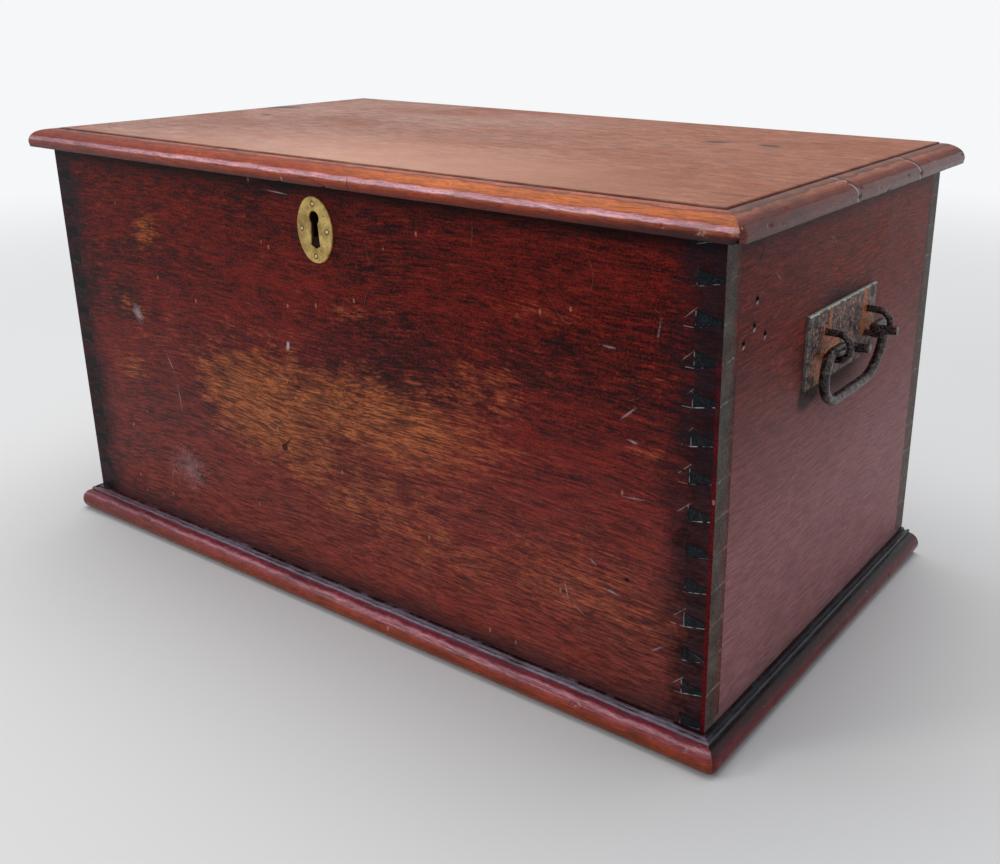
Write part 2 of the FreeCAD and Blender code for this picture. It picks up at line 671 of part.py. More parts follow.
def hinge_pin(middle):
    """Pin with a low head at each end."""
    start, end = "%s - dim.hinge_length / 2" % middle, "%s + dim.hinge_length / 2" % middle
    place = ("dim.pin_axis_y", "dim.pin_axis_z")
    return fuse(rod(X, "dim.hinge_pin_radius", "dim.hinge_length", start, *place),
                cone(-X, "dim.hinge_pin_head", "dim.hinge_pin_radius", "dim.hinge_head_depth",
                     start, *place),
                cone(X, "dim.hinge_pin_head", "dim.hinge_pin_radius", "dim.hinge_head_depth",
                     end, *place))


def hinge_recess(middle, low, high):
    """What a wall's edge or the lid loses for one hinge: the leaf's bed and the barrel's hollow."""
    ends = "(dim.hinge_length / 2 + dim.hinge_head_depth + dim.knuckle_gap)"
    bed = box("%s - dim.hinge_length / 2 - dim.drill_room" % middle,
              "%s + dim.hinge_length / 2 + dim.drill_room" % middle,
              "dim.pin_axis_y - dim.hinge_leaf_width - dim.drill_room",
              "dim.pin_axis_y", low, high)
    hollow = rod(X, "dim.relief_radius", "2 * " + ends, "%s - %s" % (middle, ends),
                 "dim.pin_axis_y", "dim.pin_axis_z")
    return fuse(bed, hollow)


# Lock

def key_opening(radius, slot, drop, y, length):
    """Round and slot that run back from y: the way for the key."""
    round_part = rod(Y, radius, length, "dim.escutcheon_shift", y, "dim.keyhole_z")
    slot_part = box("dim.escutcheon_shift - %s / 2" % slot, "dim.escutcheon_shift + %s / 2" % slot,
                    y, "%s + %s" % (y, length), "dim.keyhole_z - " + drop, "dim.keyhole_z")
    return fuse(round_part, slot_part)


def lock_screw_places():
    side = "(dim.lock_width / 2 - dim.lock_screw_inset)"
    upper = "dim.wall_top - dim.lock_screw_drop"
    lower = "dim.wall_top - dim.lock_height + dim.lock_screw_drop"
    return [(sign + side, "dim.inner_face", height) for sign in ("-", "") for height in (upper, lower)]


def lock_block(width, height, front, room):
    """Space of the lock behind a front plane, up through the wall's top edge."""
    return box("-(%s / 2 + %s)" % (width, room), "%s / 2 + %s" % (width, room),
               "%s - %s" % (front, room), "dim.inner_face + dim.overrun",
               "dim.wall_top - %s - %s" % (height, room), "dim.wall_top + dim.overrun")


def lock_back_plate():
    """Plate on the wall's inner face, with a flange over its top edge that the links pass."""
    plate = box("-dim.lock_width / 2", "dim.lock_width / 2", "dim.inner_face - dim.lock_plate",
                "dim.inner_face", "dim.wall_top - dim.lock_height", "dim.wall_top")
    flange = box("-dim.lock_width / 2", "dim.lock_width / 2", "dim.inner_face - dim.lock_reach",
                 "dim.inner_face", "dim.wall_top - dim.lock_plate", "dim.wall_top")
    slots = [box("%s * dim.link_spread / 2 - dim.link_thickness / 2 - dim.link_room" % side,
                 "%s * dim.link_spread / 2 + dim.link_thickness / 2 + dim.link_room" % side,
                 "dim.bolt_y - dim.link_width / 2 - dim.link_room",
                 "dim.bolt_y + dim.link_width / 2 + dim.link_room",
                 "dim.wall_top - dim.lock_plate", "dim.wall_top + dim.overrun") for side in (-1, 1)]
    key_rest = rod(Y, "dim.key_end", "dim.lock_plate + 2 * dim.overrun", "dim.escutcheon_shift",
                   "dim.inner_face - dim.lock_plate - dim.overrun", "dim.keyhole_z")
    screws = group([screw(-Y, *place, room=ROOM) for place in lock_screw_places()])
    return carve(fuse(plate, flange), group(slots), key_rest, screws)


def lock_case():
    """Case in the mortise, open to the plate and the flange, with a ledge under each bolt end."""
    half, foot = "dim.case_width / 2", "dim.wall_top - dim.case_height"
    front, back = "dim.inner_face - dim.lock_reach", "dim.inner_face - dim.lock_plate"
    top = "dim.wall_top - dim.lock_plate"
    shell = carve(box("-" + half, half, front, back, foot, top),
                  box("-%s + dim.case_wall" % half, half + " - dim.case_wall",
                      front + " + dim.case_wall", back + " + dim.overrun",
                      foot + " + dim.case_wall", top + " + dim.overrun"))
    ledge_top = "dim.wall_top - dim.bolt_drop - dim.bolt_height - dim.bolt_fit"
    left = box("-" + half, "dim.case_ledge - " + half, front, back, foot, ledge_top)
    right = box(half + " - dim.case_ledge", half, front, back, foot, ledge_top)
    key = key_opening("dim.key_bore", "dim.key_slot", "dim.key_slot_drop",
                      front + " - dim.overrun", "dim.case_wall + 2 * dim.overrun")
    return carve(fuse(shell, left, right), key)


def bolt():
    """Bar with a notch for the key and two prongs that slide into the links' eyes."""
    front = "dim.bolt_y - dim.bolt_thickness / 2"
    back = "dim.bolt_y + dim.bolt_thickness / 2"
    top = "dim.wall_top - dim.bolt_drop"
    low = top + " - dim.bolt_height"
    start = "-dim.bolt_start"
    bar = box(start, start + " + dim.bolt_length", front, back, low, top)
    notch = box("dim.escutcheon_shift - dim.talon_width / 2", "dim.escutcheon_shift + dim.talon_width / 2",
                front + " - dim.overrun", back + " + dim.overrun", low + " - dim.overrun",
                low + " + dim.talon_depth")
    prong_top = "dim.wall_top - dim.prong_rise"
    prongs = []
    for index in (0, 1):
        root = "%s + %d * dim.link_spread" % (start, index)
        prongs.append(box(root, root + " + dim.prong_root", front, back, top, prong_top))
        prongs.append(box(root, root + " + dim.prong_length", front, back,
                          prong_top + " - dim.prong_height", prong_top))
    return fuse(carve(bar, notch), *prongs)


def link_plate():
    """Plate in the lid with two links that hang down into the lock."""
    low, high = "dim.lid_base", "dim.lid_base + dim.lock_plate"
    plate = link_bed("0")
    links, eyes = [], []
    for side in (-1, 1):
        middle = "%d * dim.link_spread / 2" % side
        left, right = middle + " - dim.link_thickness / 2", middle + " + dim.link_thickness / 2"
        links.append(box(left, right, "dim.bolt_y - dim.link_width / 2",
                         "dim.bolt_y + dim.link_width / 2", "dim.wall_top - dim.link_drop", high))
        eye_top = "dim.wall_top - dim.prong_rise + (dim.link_eye_height - dim.prong_height) / 2"
        eyes.append(box(left + " - dim.overrun", right + " + dim.overrun",
                        "dim.bolt_y - dim.link_eye_width / 2", "dim.bolt_y + dim.link_eye_width / 2",
                        eye_top + " - dim.link_eye_height", eye_top))
    screws = group([screw(Z, *place, room=ROOM) for place in link_screw_places()])
    return carve(fuse(plate, *links), group(eyes), screws)


def link_bed(room):
    """The link plate's own block, or its bed in the lid when room is given."""
    low = "dim.lid_base" if room == "0" else "dim.lid_base - dim.overrun"
    return box("-dim.link_plate_length / 2 - %s" % room, "dim.link_plate_length / 2 + %s" % room,
               "dim.bolt_y - dim.link_plate_width / 2 - %s" % room,
               "dim.bolt_y + dim.link_plate_width / 2 + %s" % room,
               low, "dim.lid_base + dim.lock_plate + %s" % room)


def link_screw_places():
    return [(sign + "dim.link_screw_spread / 2", "dim.bolt_y", "dim.lid_base") for sign in ("-", "")]


# Escutcheon

def escutcheon():
    """Bevelled oval plate with a keyhole that widens to a pointed foot."""
    body = new_body("escutcheon")
    bind(body, x="dim.escutcheon_shift", y="dim.front_face", z="dim.escutcheon_z")
    across, up = "dim.oval_end * dim.oval_lean", "dim.oval_rise * (1 + dim.oval_end / dim.oval_throw)"
    end, flank = "dim.oval_end", "dim.oval_flank"
    oval = [(across, up, flank, 1), ("-" + across, up, end, 1),
            ("-" + across, "-%s" % up, flank, 1), (across, "-%s" % up, end, 1)]
    neck = "dim.keyhole_rise - sqrt(dim.keyhole_radius ^ 2 - (dim.keyhole_neck / 2) ^ 2)"
    foot = "-dim.keyhole_foot_drop"
    keyhole = [("dim.keyhole_neck / 2", neck),
               ("0", "dim.keyhole_rise + dim.keyhole_radius", "dim.keyhole_radius", 1),
               ("-dim.keyhole_neck / 2", neck, "dim.keyhole_radius", 1),
               ("-dim.keyhole_foot / 2", foot), ("0", foot + " - dim.keyhole_point"),
               ("dim.keyhole_foot / 2", foot)]
    plate = body.newObject("PartDesign::Pad", "plate")
    plate.Profile = draw(draw(sketch_on(body, "XZ_Plane"), oval), keyhole)
    plate.setExpression("Length", "dim.escutcheon_plate")
    chamfer(body, plate, -Y, "dim.escutcheon_bevel")
    return carve(body, group([escutcheon_pin(*place, room=ROOM)
                              for place in escutcheon_pin_places()]))


def escutcheon_pin_places():
    places = [("dim.escutcheon_shift", "dim.escutcheon_z %s dim.escutcheon_pin_rise" % sign)
              for sign in "+-"]
    return places + [("dim.escutcheon_shift %s dim.escutcheon_pin_reach" % sign, "dim.escutcheon_z")
                     for sign in "+-"]


def escutcheon_pin(x, z, room="0"):
    """Low-headed pin through the plate into the wall, or its hole when room is given."""
    face = "dim.front_face - dim.escutcheon_plate"
    shank = rod(Y, "dim.escutcheon_pin_radius + " + room, "dim.escutcheon_pin_length + " + room,
                x, face, z)
    if room != "0":
        return shank
    head = cone(-Y, "dim.escutcheon_pin_head", "dim.escutcheon_pin_head / 2",
                "dim.escutcheon_pin_dome", x, face, z)
    return fuse(shank, head)


# Handles: modelled about the middle of the plate's back, the right one in place, the left turned

def handle_screw_places(side):
    """Corner screws of one plate."""
    return [("%d * (dim.side_face + dim.handle_plate)" % side,
             "dim.middle - dim.handle_shift %s dim.handle_screw_spread / 2" % front,
             "dim.handle_z %s dim.handle_screw_rise" % up) for front in "-+" for up in "-+"]


def handle_plate(side):
    """Bevelled iron plate with holes for the staples' legs and the screws."""
    body = new_body("handle_plate")
    bind(body, x="%d * dim.side_face" % side, y="dim.middle - dim.handle_shift", z="dim.handle_z")
    outline = rectangle("-dim.handle_plate_length / 2", "dim.handle_plate_length / 2",
                        "-dim.handle_plate_height / 2", "dim.handle_plate_height / 2")
    plate = body.newObject("PartDesign::Pad", "plate")
    plate.Profile = draw(sketch_on(body, "YZ_Plane"), outline)
    plate.Reversed = side < 0
    plate.setExpression("Length", "dim.handle_plate")
    chamfer(body, plate, X * side, "dim.handle_bevel")
    legs = group([rod(X, "dim.staple_rod + dim.staple_fit", "2 * dim.overrun + dim.handle_plate",
                      "%d * (dim.side_face + dim.handle_plate / 2) - dim.overrun"
                      " - dim.handle_plate / 2" % side,
                      "dim.middle %s dim.staple_spread / 2" % front,
                      "dim.staple_z %s dim.staple_radius" % up) for front in "-+" for up in "-+"])
    way = X * -side
    screws = group([screw(way, *place, "handle_screw", ROOM) for place in handle_screw_places(side)])
    return carve(body, legs, screws)


def staple(side, front):
    """Bowed wire whose two legs stand in the plate, one above the other."""
    body = new_body("staple")
    bind(body, x="%d * dim.side_face" % side, y="dim.middle %s dim.staple_spread / 2" % front,
         z="dim.staple_z")
    reach = "%d * dim.pivot_reach" % side
    section = draw_circle(sketch_on(body, "YZ_Plane"), "0", "dim.staple_radius", "dim.staple_rod")
    line = [("0", "dim.staple_radius"), (reach, "dim.staple_radius"),
            ("%d * (dim.pivot_reach + dim.staple_radius)" % side, "0", "dim.staple_radius", -side),
            (reach, "-dim.staple_radius", "dim.staple_radius", -side), ("0", "-dim.staple_radius")]
    pipe(body, section, draw(sketch_on(body, "XZ_Plane"), line, closed=False))
    return body


def bail(side):
    """Round rod: a straight grip, bends up to the staples, and ends turned out inside them.

    Modelled hanging straight under its axis at the origin, then tilted to where it hangs.
    """
    body = new_body("bail")
    body.Placement.Rotation = FreeCAD.Rotation(Y, side * HANG_ANGLE)
    bind(body, x="%d * (dim.side_face + dim.pivot_reach)" % side, y="dim.middle", z="dim.pivot_z")
    flat = "(dim.bail_half_span - dim.bail_bend)"
    ring = "(dim.bail_tip_spread + dim.bail_tip_turn)"
    grip = draw_circle(sketch_on(body, "XZ_Plane"), "0", "-dim.bail_depth", "dim.bail_rod")
    bow = [("0", "-dim.bail_depth"), (flat, "-dim.bail_depth"),
           ("dim.bail_half_span", "-dim.bail_shoulder", "dim.bail_bend", 1),
           ("dim.bail_half_span - dim.bail_shoulder", "0", "dim.bail_shoulder", 1), (ring, "0")]
    half = pipe(body, grip, draw(sketch_on(body, "YZ_Plane"), bow, closed=False))
    end = draw_circle(sketch_on(body, "XZ_Plane", "-" + ring), "0", "0", "dim.bail_rod")
    turned = [("0", ring), ("%d * dim.bail_tip_turn" % side, "dim.bail_tip_spread",
                            "dim.bail_tip_turn", side),
              ("%d * dim.bail_tip_reach" % side, "dim.bail_tip_spread")]
    plan = sketch_on(body, "XY_Plane")
    plan.AttachmentOffset = FreeCAD.Placement(FreeCAD.Vector(), FreeCAD.Rotation(Y, -side * TIP_ANGLE))
    tip = pipe(body, end, draw(plan, turned, closed=False))
    mirror(body, [half, tip], "XZ_Plane")
    return body


# The whole chest

def build_carcase():
    walls = {"front": tail_board("dim.front_face + dim.board / 2"),
             "back": tail_board("dim.back_face - dim.board / 2"),
             "left": side_board(-1), "right": side_board(1)}
    key = key_opening("dim.key_bore", "dim.key_slot", "dim.key_slot_drop",
                      "dim.front_face - dim.overrun", "dim.board + 2 * dim.overrun")
    extra = {
        "front": [brad_holes(base_brads(), "front"),
                  lock_block("dim.lock_width", "dim.lock_height",
                             "(dim.inner_face - dim.lock_plate)", "dim.lock_fit"),
                  lock_block("dim.lock_width", "dim.lock_plate",
                             "(dim.inner_face - dim.lock_reach)", "dim.lock_fit"),
                  lock_block("dim.case_width", "dim.case_height",
                             "(dim.inner_face - dim.lock_reach)", "dim.lock_fit"),
                  group([screw(-Y, *place, room=ROOM) for place in lock_screw_places()]),
                  group([escutcheon_pin(*place, room=ROOM) for place in escutcheon_pin_places()]),
                  key],
        "back": [group([hinge_recess(middle, "dim.wall_top - dim.hinge_leaf",
                                     "dim.wall_top + dim.overrun") for middle in HINGE_MIDDLES]),
                 group([one for middle in HINGE_MIDDLES
                        for one in hinge_screws(middle, -Z, "dim.wall_top", ROOM)])],
        "left": [brad_holes(base_brads(), "left"),
                 group([screw(X, *place, "handle_screw", ROOM) for place in handle_screw_places(-1)])],
        "right": [brad_holes(base_brads(), "right"),
                  group([screw(-X, *place, "handle_screw", ROOM) for place in handle_screw_places(1)]),
                  group([rod(-X, "dim.old_hole_radius", "dim.old_hole_depth + dim.overrun",
                             "dim.side_face + dim.overrun",
                             "dim.front_face + dim.carcase_depth * %s" % across,
                             "dim.bottom_board + dim.wall_height * %s" % up)
                         for across, up in OLD_HOLE_SHARES])]}
    names = {"front": "front_board", "back": "back_board", "left": "left_side_board",
             "right": "right_side_board"}
    for wall, body in walls.items():
        keep(names[wall], carve(body, nail_holes(3, wall), *extra[wall]))
    for index, place in enumerate(BOTTOM_BOARDS):
        start = "dim.front_face + %d * dim.bottom_width" % index
        first = " + dim.bottom_gap / 2" if index else ""
        last = " - dim.bottom_gap / 2" if place != BOTTOM_BOARDS[-1] else ""
        plank = box("-dim.side_face", "dim.side_face", start + first,
                    start + " + dim.bottom_width" + last, "0", "dim.bottom_board")
        keep("bottom_board_" + place, carve(plank, nail_holes(2, place)))
    keep("bottom_nails", group([nail(spot[0], spot[1]) for spot in bottom_nail_places()]))


def build_mouldings():
    keep("base_moulding_front", carve(front_moulding(base_profile()),
                                      brad_holes(base_brads(), "front")))
    keep("lid_moulding_front", carve(front_moulding(lid_profile()),
                                     brad_holes(lid_brads(), "front")))
    for side, name in ((-1, "left"), (1, "right")):
        keep("base_moulding_" + name, carve(side_moulding(side, base_profile(), "dim.back_face"),
                                            brad_holes(base_brads(), name)))
        keep("lid_moulding_" + name, carve(side_moulding(side, lid_profile(), "dim.lid_back"),
                                           brad_holes(lid_brads(), name)))
    keep("base_moulding_nails", group([brad(*spot[:5]) for spot in base_brads()]))
    keep("lid_moulding_nails", group([brad(*spot[:5]) for spot in lid_brads()]))


def build_lid():
    """Board with a chamfered top, bedded for the hinges' leaves and the link plate."""
    half = "(dim.side_face - dim.lid_moulding_inset)"
    front = "dim.front_face + dim.lid_moulding_inset"
    body = new_body("lid_board")
    outline = rectangle("-" + half, half, front, "dim.lid_back")
    plan = draw(sketch_on(body, "XY_Plane", "(dim.lid_base + dim.lid_top) / 2"), outline)
    chamfer(body, pad(body, plan, "dim.lid_thickness"), Z, "dim.lid_arris")
    beds = group([hinge_recess(middle, "dim.lid_base - dim.overrun", "dim.lid_base + dim.hinge_leaf")
                  for middle in HINGE_MIDDLES])
    screws = group([one for middle in HINGE_MIDDLES
                    for one in hinge_screws(middle, Z, "dim.lid_base", ROOM)])
    links = group([screw(Z, *place, room=ROOM) for place in link_screw_places()])
    keep("lid_board", carve(body, beds, screws, link_bed(ROOM), links, brad_holes(lid_brads())))


def build_hinges():
    fixed = [index for index in range(int(value("dim.knuckle_count"))) if index % 2 == 0]
    turning = [index for index in range(int(value("dim.knuckle_count"))) if index % 2]
    for middle, name in zip(HINGE_MIDDLES, ("left", "right")):
        keep("hinge_back_leaf_" + name,
             hinge_leaf(middle, fixed, turning, "dim.wall_top - dim.hinge_leaf", "dim.wall_top",
                        -Z, "dim.wall_top"))
        keep("hinge_lid_leaf_" + name,
             hinge_leaf(middle, turning, fixed, "dim.lid_base", "dim.lid_base + dim.hinge_leaf",
                        Z, "dim.lid_base"))
        keep("hinge_pin_" + name, hinge_pin(middle))
    keep("hinge_back_screws", group([one for middle in HINGE_MIDDLES
                                     for one in hinge_screws(middle, -Z, "dim.wall_top")]))
    keep("hinge_lid_screws", group([one for middle in HINGE_MIDDLES
                                    for one in hinge_screws(middle, Z, "dim.lid_base")]))


def build_lock():
    keep("lock_plate", lock_back_plate())
    keep("lock_case", lock_case())
    keep("lock_bolt", bolt())
    keep("lock_screws", group([screw(-Y, *place) for place in lock_screw_places()]))
    keep("lock_link_plate", link_plate())
    keep("lock_link_screws", group([screw(Z, *place) for place in link_screw_places()]))
    keep("escutcheon", escutcheon())
    keep("escutcheon_pins", group([escutcheon_pin(*place) for place in escutcheon_pin_places()]))


def build_handles():
    for side, name in ((-1, "left"), (1, "right")):
        keep("handle_plate_" + name, handle_plate(side))
        keep("handle_screws_" + name, group([screw(X * -side, *place, "handle_screw")
                                             for place in handle_screw_places(side)]))
        keep("handle_staple_%s_front" % name, staple(side, "-"))
        keep("handle_staple_%s_rear" % name, staple(side, "+"))
        keep("handle_bail_" + name, bail(side))


def check_and_export():
    """Stop on any failed object or shape, then write one file for each sub-part."""
    doc.recompute()
    failed = [item.Label for item in doc.Objects if {"Invalid", "Error"} & set(item.State)]
    for name, thing in nodes.items():
        if thing.Shape.isNull() or not thing.Shape.isValid() or not thing.Shape.Solids:
            failed.append(name)
    if failed:
        raise RuntimeError("failed objects: " + ", ".join(failed))
    os.makedirs("parts", exist_ok=True)
    for name, thing in nodes.items():
        thing.Shape.exportStep("parts/%s.step" % name)
    print("%d sub-parts, %d solids" % (len(nodes), sum(len(n.Shape.Solids) for n in nodes.values())))


HINGE_MIDDLES = ("-(dim.side_face - dim.hinge_inset)", "(dim.side_face - dim.hinge_inset)")

fill_sheet()
build_carcase()
build_mouldings()
build_lid()
build_hinges()
build_lock()
build_handles()
check_and_export()
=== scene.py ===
import math
import bmesh
import bpy
import numpy as np
from mathutils import Matrix, Vector


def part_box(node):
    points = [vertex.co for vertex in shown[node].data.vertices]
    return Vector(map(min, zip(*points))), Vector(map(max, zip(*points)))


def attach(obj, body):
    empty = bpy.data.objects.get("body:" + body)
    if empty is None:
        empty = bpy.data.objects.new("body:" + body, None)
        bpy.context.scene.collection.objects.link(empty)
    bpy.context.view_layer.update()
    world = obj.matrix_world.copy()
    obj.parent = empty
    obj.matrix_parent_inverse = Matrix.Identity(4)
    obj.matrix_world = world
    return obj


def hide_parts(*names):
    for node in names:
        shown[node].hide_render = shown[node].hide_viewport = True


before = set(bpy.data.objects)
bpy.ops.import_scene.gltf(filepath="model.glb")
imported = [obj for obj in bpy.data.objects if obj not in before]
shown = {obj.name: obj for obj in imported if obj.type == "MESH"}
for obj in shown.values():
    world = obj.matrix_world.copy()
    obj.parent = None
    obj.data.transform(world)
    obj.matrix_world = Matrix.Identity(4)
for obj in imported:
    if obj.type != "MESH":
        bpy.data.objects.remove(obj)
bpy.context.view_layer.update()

# An old mahogany storage chest, dovetailed at the corners, with a mitred moulding round its foot
# and round its lid, an oval brass escutcheon and an iron handle on each side. Metres.


# ---- The studio ----
# A pale floor, one broad soft lamp overhead, a weaker one on the front's left and an even pale room
# round them. The camera and what is glossy or clear see a nearly white backdrop instead.

class Value:
    """What comes out of a shader node. Each sum written with it is one Math node."""

    def __init__(self, socket):
        self.socket = socket

    def __add__(self, other): return maths("ADD", self, other)
    def __sub__(self, other): return maths("SUBTRACT", self, other)
    def __rsub__(self, other): return maths("SUBTRACT", other, self)
    def __mul__(self, other): return maths("MULTIPLY", self, other)
    def __rmul__(self, other): return maths("MULTIPLY", other, self)
    def __truediv__(self, other): return maths("DIVIDE", self, other)
    def __gt__(self, other): return maths("GREATER_THAN", self, other)
    def __lt__(self, other): return maths("LESS_THAN", self, other)
    def __abs__(self): return maths("ABSOLUTE", self)


def feed(node, name, value):
    """Sets a node's input to a number or colour, or links it to a value."""
    if isinstance(value, Value):
        node.id_data.links.new(value.socket, node.inputs[name])
    else:
        node.inputs[name].default_value = value


def put(kind, inputs=None, tree=None, out=0, **options):
    """Places a shader node in the tree that its inputs come from, and returns one of its outputs,
    or the node itself where out is None."""
    inputs = inputs or {}
    tree = tree or next(v.socket.id_data for v in inputs.values() if isinstance(v, Value))
    made = tree.nodes.new("ShaderNode" + kind)
    for name, value in options.items():
        setattr(made, name, value)
    for name, value in inputs.items():
        feed(made, name, value)
    return made if out is None else Value(made.outputs[out])


def maths(operation, *values):
    """A sum on one or more values."""
    return put("Math", dict(enumerate(values)), operation=operation)


def most(*masks):
    """The strongest of some masks."""
    best = masks[0]
    for mask in masks[1:]:
        best = maths("MAXIMUM", best, mask)
    return best


WHITE = (0.97, 0.98, 1.0, 1)
world = bpy.data.worlds.new("studio")
bpy.context.scene.world = world
world.use_nodes = True
air = world.node_tree
air.nodes.clear()
rays = put("LightPath", tree=air, out=None).outputs
looked_at = most(*(Value(rays["Is %s Ray" % kind]) for kind
                   in ("Camera", "Transmission", "Glossy")))
room = put("Background", {"Color": (0.93, 0.96, 1.0, 1), "Strength": 0.55}, air)
backdrop = put("Background", {"Color": WHITE, "Strength": 0.95}, air)
put("OutputWorld", {"Surface": put("MixShader", {0: looked_at, 1: room, 2: backdrop})}, out=None)


def lamp(name, place, target, width, height, power, colour):
    """A soft rectangular lamp at place, turned towards target."""
    light = bpy.data.lights.new(name, "AREA")
    light.shape, light.size, light.size_y = "RECTANGLE", width, height
    light.energy, light.color = power, colour
    made = bpy.data.objects.new(name, light)
    bpy.context.scene.collection.objects.link(made)
    made.location = place
    made.rotation_euler = (Vector(target) - Vector(place)).to_track_quat("-Z", "Y").to_euler()


lamp("lamp_overhead", (-0.25, 0.25, 2.3), (0, 0, 0.3), 2.4, 2.0, 42, (1.0, 0.985, 0.96))
lamp("lamp_front_left", (-1.6, -2.2, 1.5), (0, 0, 0.2), 0.75, 0.6, 17, (1.0, 0.99, 0.98))


def new_finish(name, roughness, specular):
    """A material with a Principled shader, that shader and the object's own coordinates."""
    material = bpy.data.materials.new(name)
    material.use_nodes = True
    skin = material.node_tree.nodes["Principled BSDF"]
    feed(skin, "Roughness", roughness)
    feed(skin, "Specular IOR Level", specular)
    return material, skin, put("TexCoord", tree=material.node_tree, out="Object")


floor_mesh = bpy.data.meshes.new("floor")
floor_mesh.from_pydata([(-14, -14, 0), (14, -14, 0), (14, 14, 0), (-14, 14, 0)], [], [(0, 1, 2, 3)])
floor = bpy.data.objects.new("floor", floor_mesh)
bpy.context.scene.collection.objects.link(floor)
floor_paint, paint, spot = new_finish("floor_paint", 0.9, 0.1)
ground = floor_paint.node_tree
feed(paint, "Base Color", (0.66, 0.665, 0.67, 1))
# Far from the chest the floor fades into the backdrop, for what the camera or a gloss sees of it.
reach = put("VectorMath", {0: spot}, out="Value", operation="LENGTH")
fade = put("MapRange", {"Value": reach, "From Min": 0.75, "From Max": 2.4},
           interpolation_type="SMOOTHSTEP")
rays = put("LightPath", tree=ground, out=None).outputs
share = fade * most(Value(rays["Is Camera Ray"]), Value(rays["Is Glossy Ray"]))
haze = put("Emission", {"Color": WHITE, "Strength": 0.95}, ground)
faded = put("MixShader", {0: share, 1: Value(paint.outputs[0]), 2: haze})
feed(ground.nodes["Material Output"], "Surface", faded)
floor_mesh.materials.append(floor_paint)

# The camera stands at the front right, a little above the lid, as the photograph was taken. It is
# turned about Z, tipped down and rolled a little, in degrees.
CAMERA_PLACE = (0.63466, -0.74874, 0.4905)
CAMERA_TURN, CAMERA_FALL, CAMERA_ROLL = 35.0105, 19.0098, 0.2495
lens = bpy.data.cameras.new("camera")
lens.lens, lens.sensor_width = 40.18, 36
lens.shift_x, lens.shift_y = -0.0786, -0.0537
camera = bpy.data.objects.new("camera", lens)
aim = Matrix.Translation(CAMERA_PLACE)
for angle, axis in ((CAMERA_TURN, "Z"), (90 - CAMERA_FALL, "X"), (CAMERA_ROLL, "Z")):
    aim = aim @ Matrix.Rotation(math.radians(angle), 4, axis)
camera.matrix_world = aim
bpy.context.scene.collection.objects.link(camera)
bpy.context.scene.camera = camera
bpy.context.scene.view_settings.view_transform = "Standard"

# ---- The four walls ----
# Mahogany boards, 19 mm thick, planed and polished outside and left bare inside. The side boards'
# pins run through the front and back boards, so their end grain shows there, black with old polish.

def rgb(red, green, blue):
    """A colour written as 8-bit sRGB, as the linear colour that a shader takes."""
    made = [c / 255 for c in (red, green, blue)]
    return [c / 12.92 if c <= 0.04045 else ((c + 0.055) / 1.055) ** 2.4 for c in made] + [1.0]


def between(value, low, high, smooth="SMOOTHSTEP"):
    """0 where the value is at low, 1 where it is at high, and a soft rise between."""
    return put("MapRange", {"Value": value, "From Min": low, "From Max": high},
               interpolation_type=smooth)


def tint(share, under, over):
    """One colour laid over another by a share. A plain one is written as 8-bit sRGB. The Mix node
    takes colours at its inputs 6 and 7."""
    under, over = (rgb(*c) if isinstance(c, tuple) else c for c in (under, over))
    return put("Mix", {0: share, 6: under, 7: over}, out=2, data_type="RGBA")


def coats(body, *layers):
    """Colours laid over one another: each layer is a share and a colour."""
    for share, colour in layers:
        body = tint(share, body, colour)
    return body


def noise(where, scale, detail=2.0, roughness=0.5, distortion=0.0):
    """Plain noise, its marks per metre given by scale."""
    return put("TexNoise", {"Vector": where, "Scale": scale, "Detail": detail,
                            "Roughness": roughness, "Distortion": distortion}, out="Fac")


def mapped(where, **options):
    """Coordinates moved, turned or scaled."""
    return put("Mapping", {"Vector": where, **options})


def split(where):
    """The three parts of a place."""
    return [Value(part) for part in put("SeparateXYZ", {"Vector": where}, out=None).outputs]


def oval(where, middle, reach, turn=0.0, axis=1):
    """A soft oval patch: 1 at its middle, 0 at its reach, turned about X, Y or Z (axis 0, 1, 2)."""
    turned = [0.0, 0.0, 0.0]
    turned[axis] = math.radians(turn)
    placed = put("Mapping", {"Vector": where, "Location": middle, "Rotation": turned,
                             "Scale": reach}, vector_type="TEXTURE")
    return put("TexGradient", {"Vector": placed}, out="Fac", gradient_type="SPHERICAL")


def new_effect(name, **inputs):
    """An empty shader group with named inputs: its tree, and their values inside it."""
    tree = bpy.data.node_groups.new(name, "ShaderNodeTree")
    for label, start in inputs.items():
        kind = "Vector" if start is None else "Float"
        socket = tree.interface.new_socket(label, in_out="INPUT", socket_type="NodeSocket" + kind)
        if start is not None:
            socket.default_value = start
    made = tree.nodes.new("NodeGroupInput")
    return tree, [Value(made.outputs[label]) for label in inputs]


def give(tree, **masks):
    """Ends a shader group with its named outputs."""
    made = tree.nodes.new("NodeGroupOutput")
    for label, value in masks.items():
        tree.interface.new_socket(label, in_out="OUTPUT", socket_type="NodeSocketFloat")
        feed(made, label, value)
    return tree


def stretched(where, scale, detail, roughness):
    """Noise drawn out along the grain: scale gives its marks per metre along X, Y and Z."""
    return noise(mapped(where, Scale=scale), 1.0, detail, roughness)


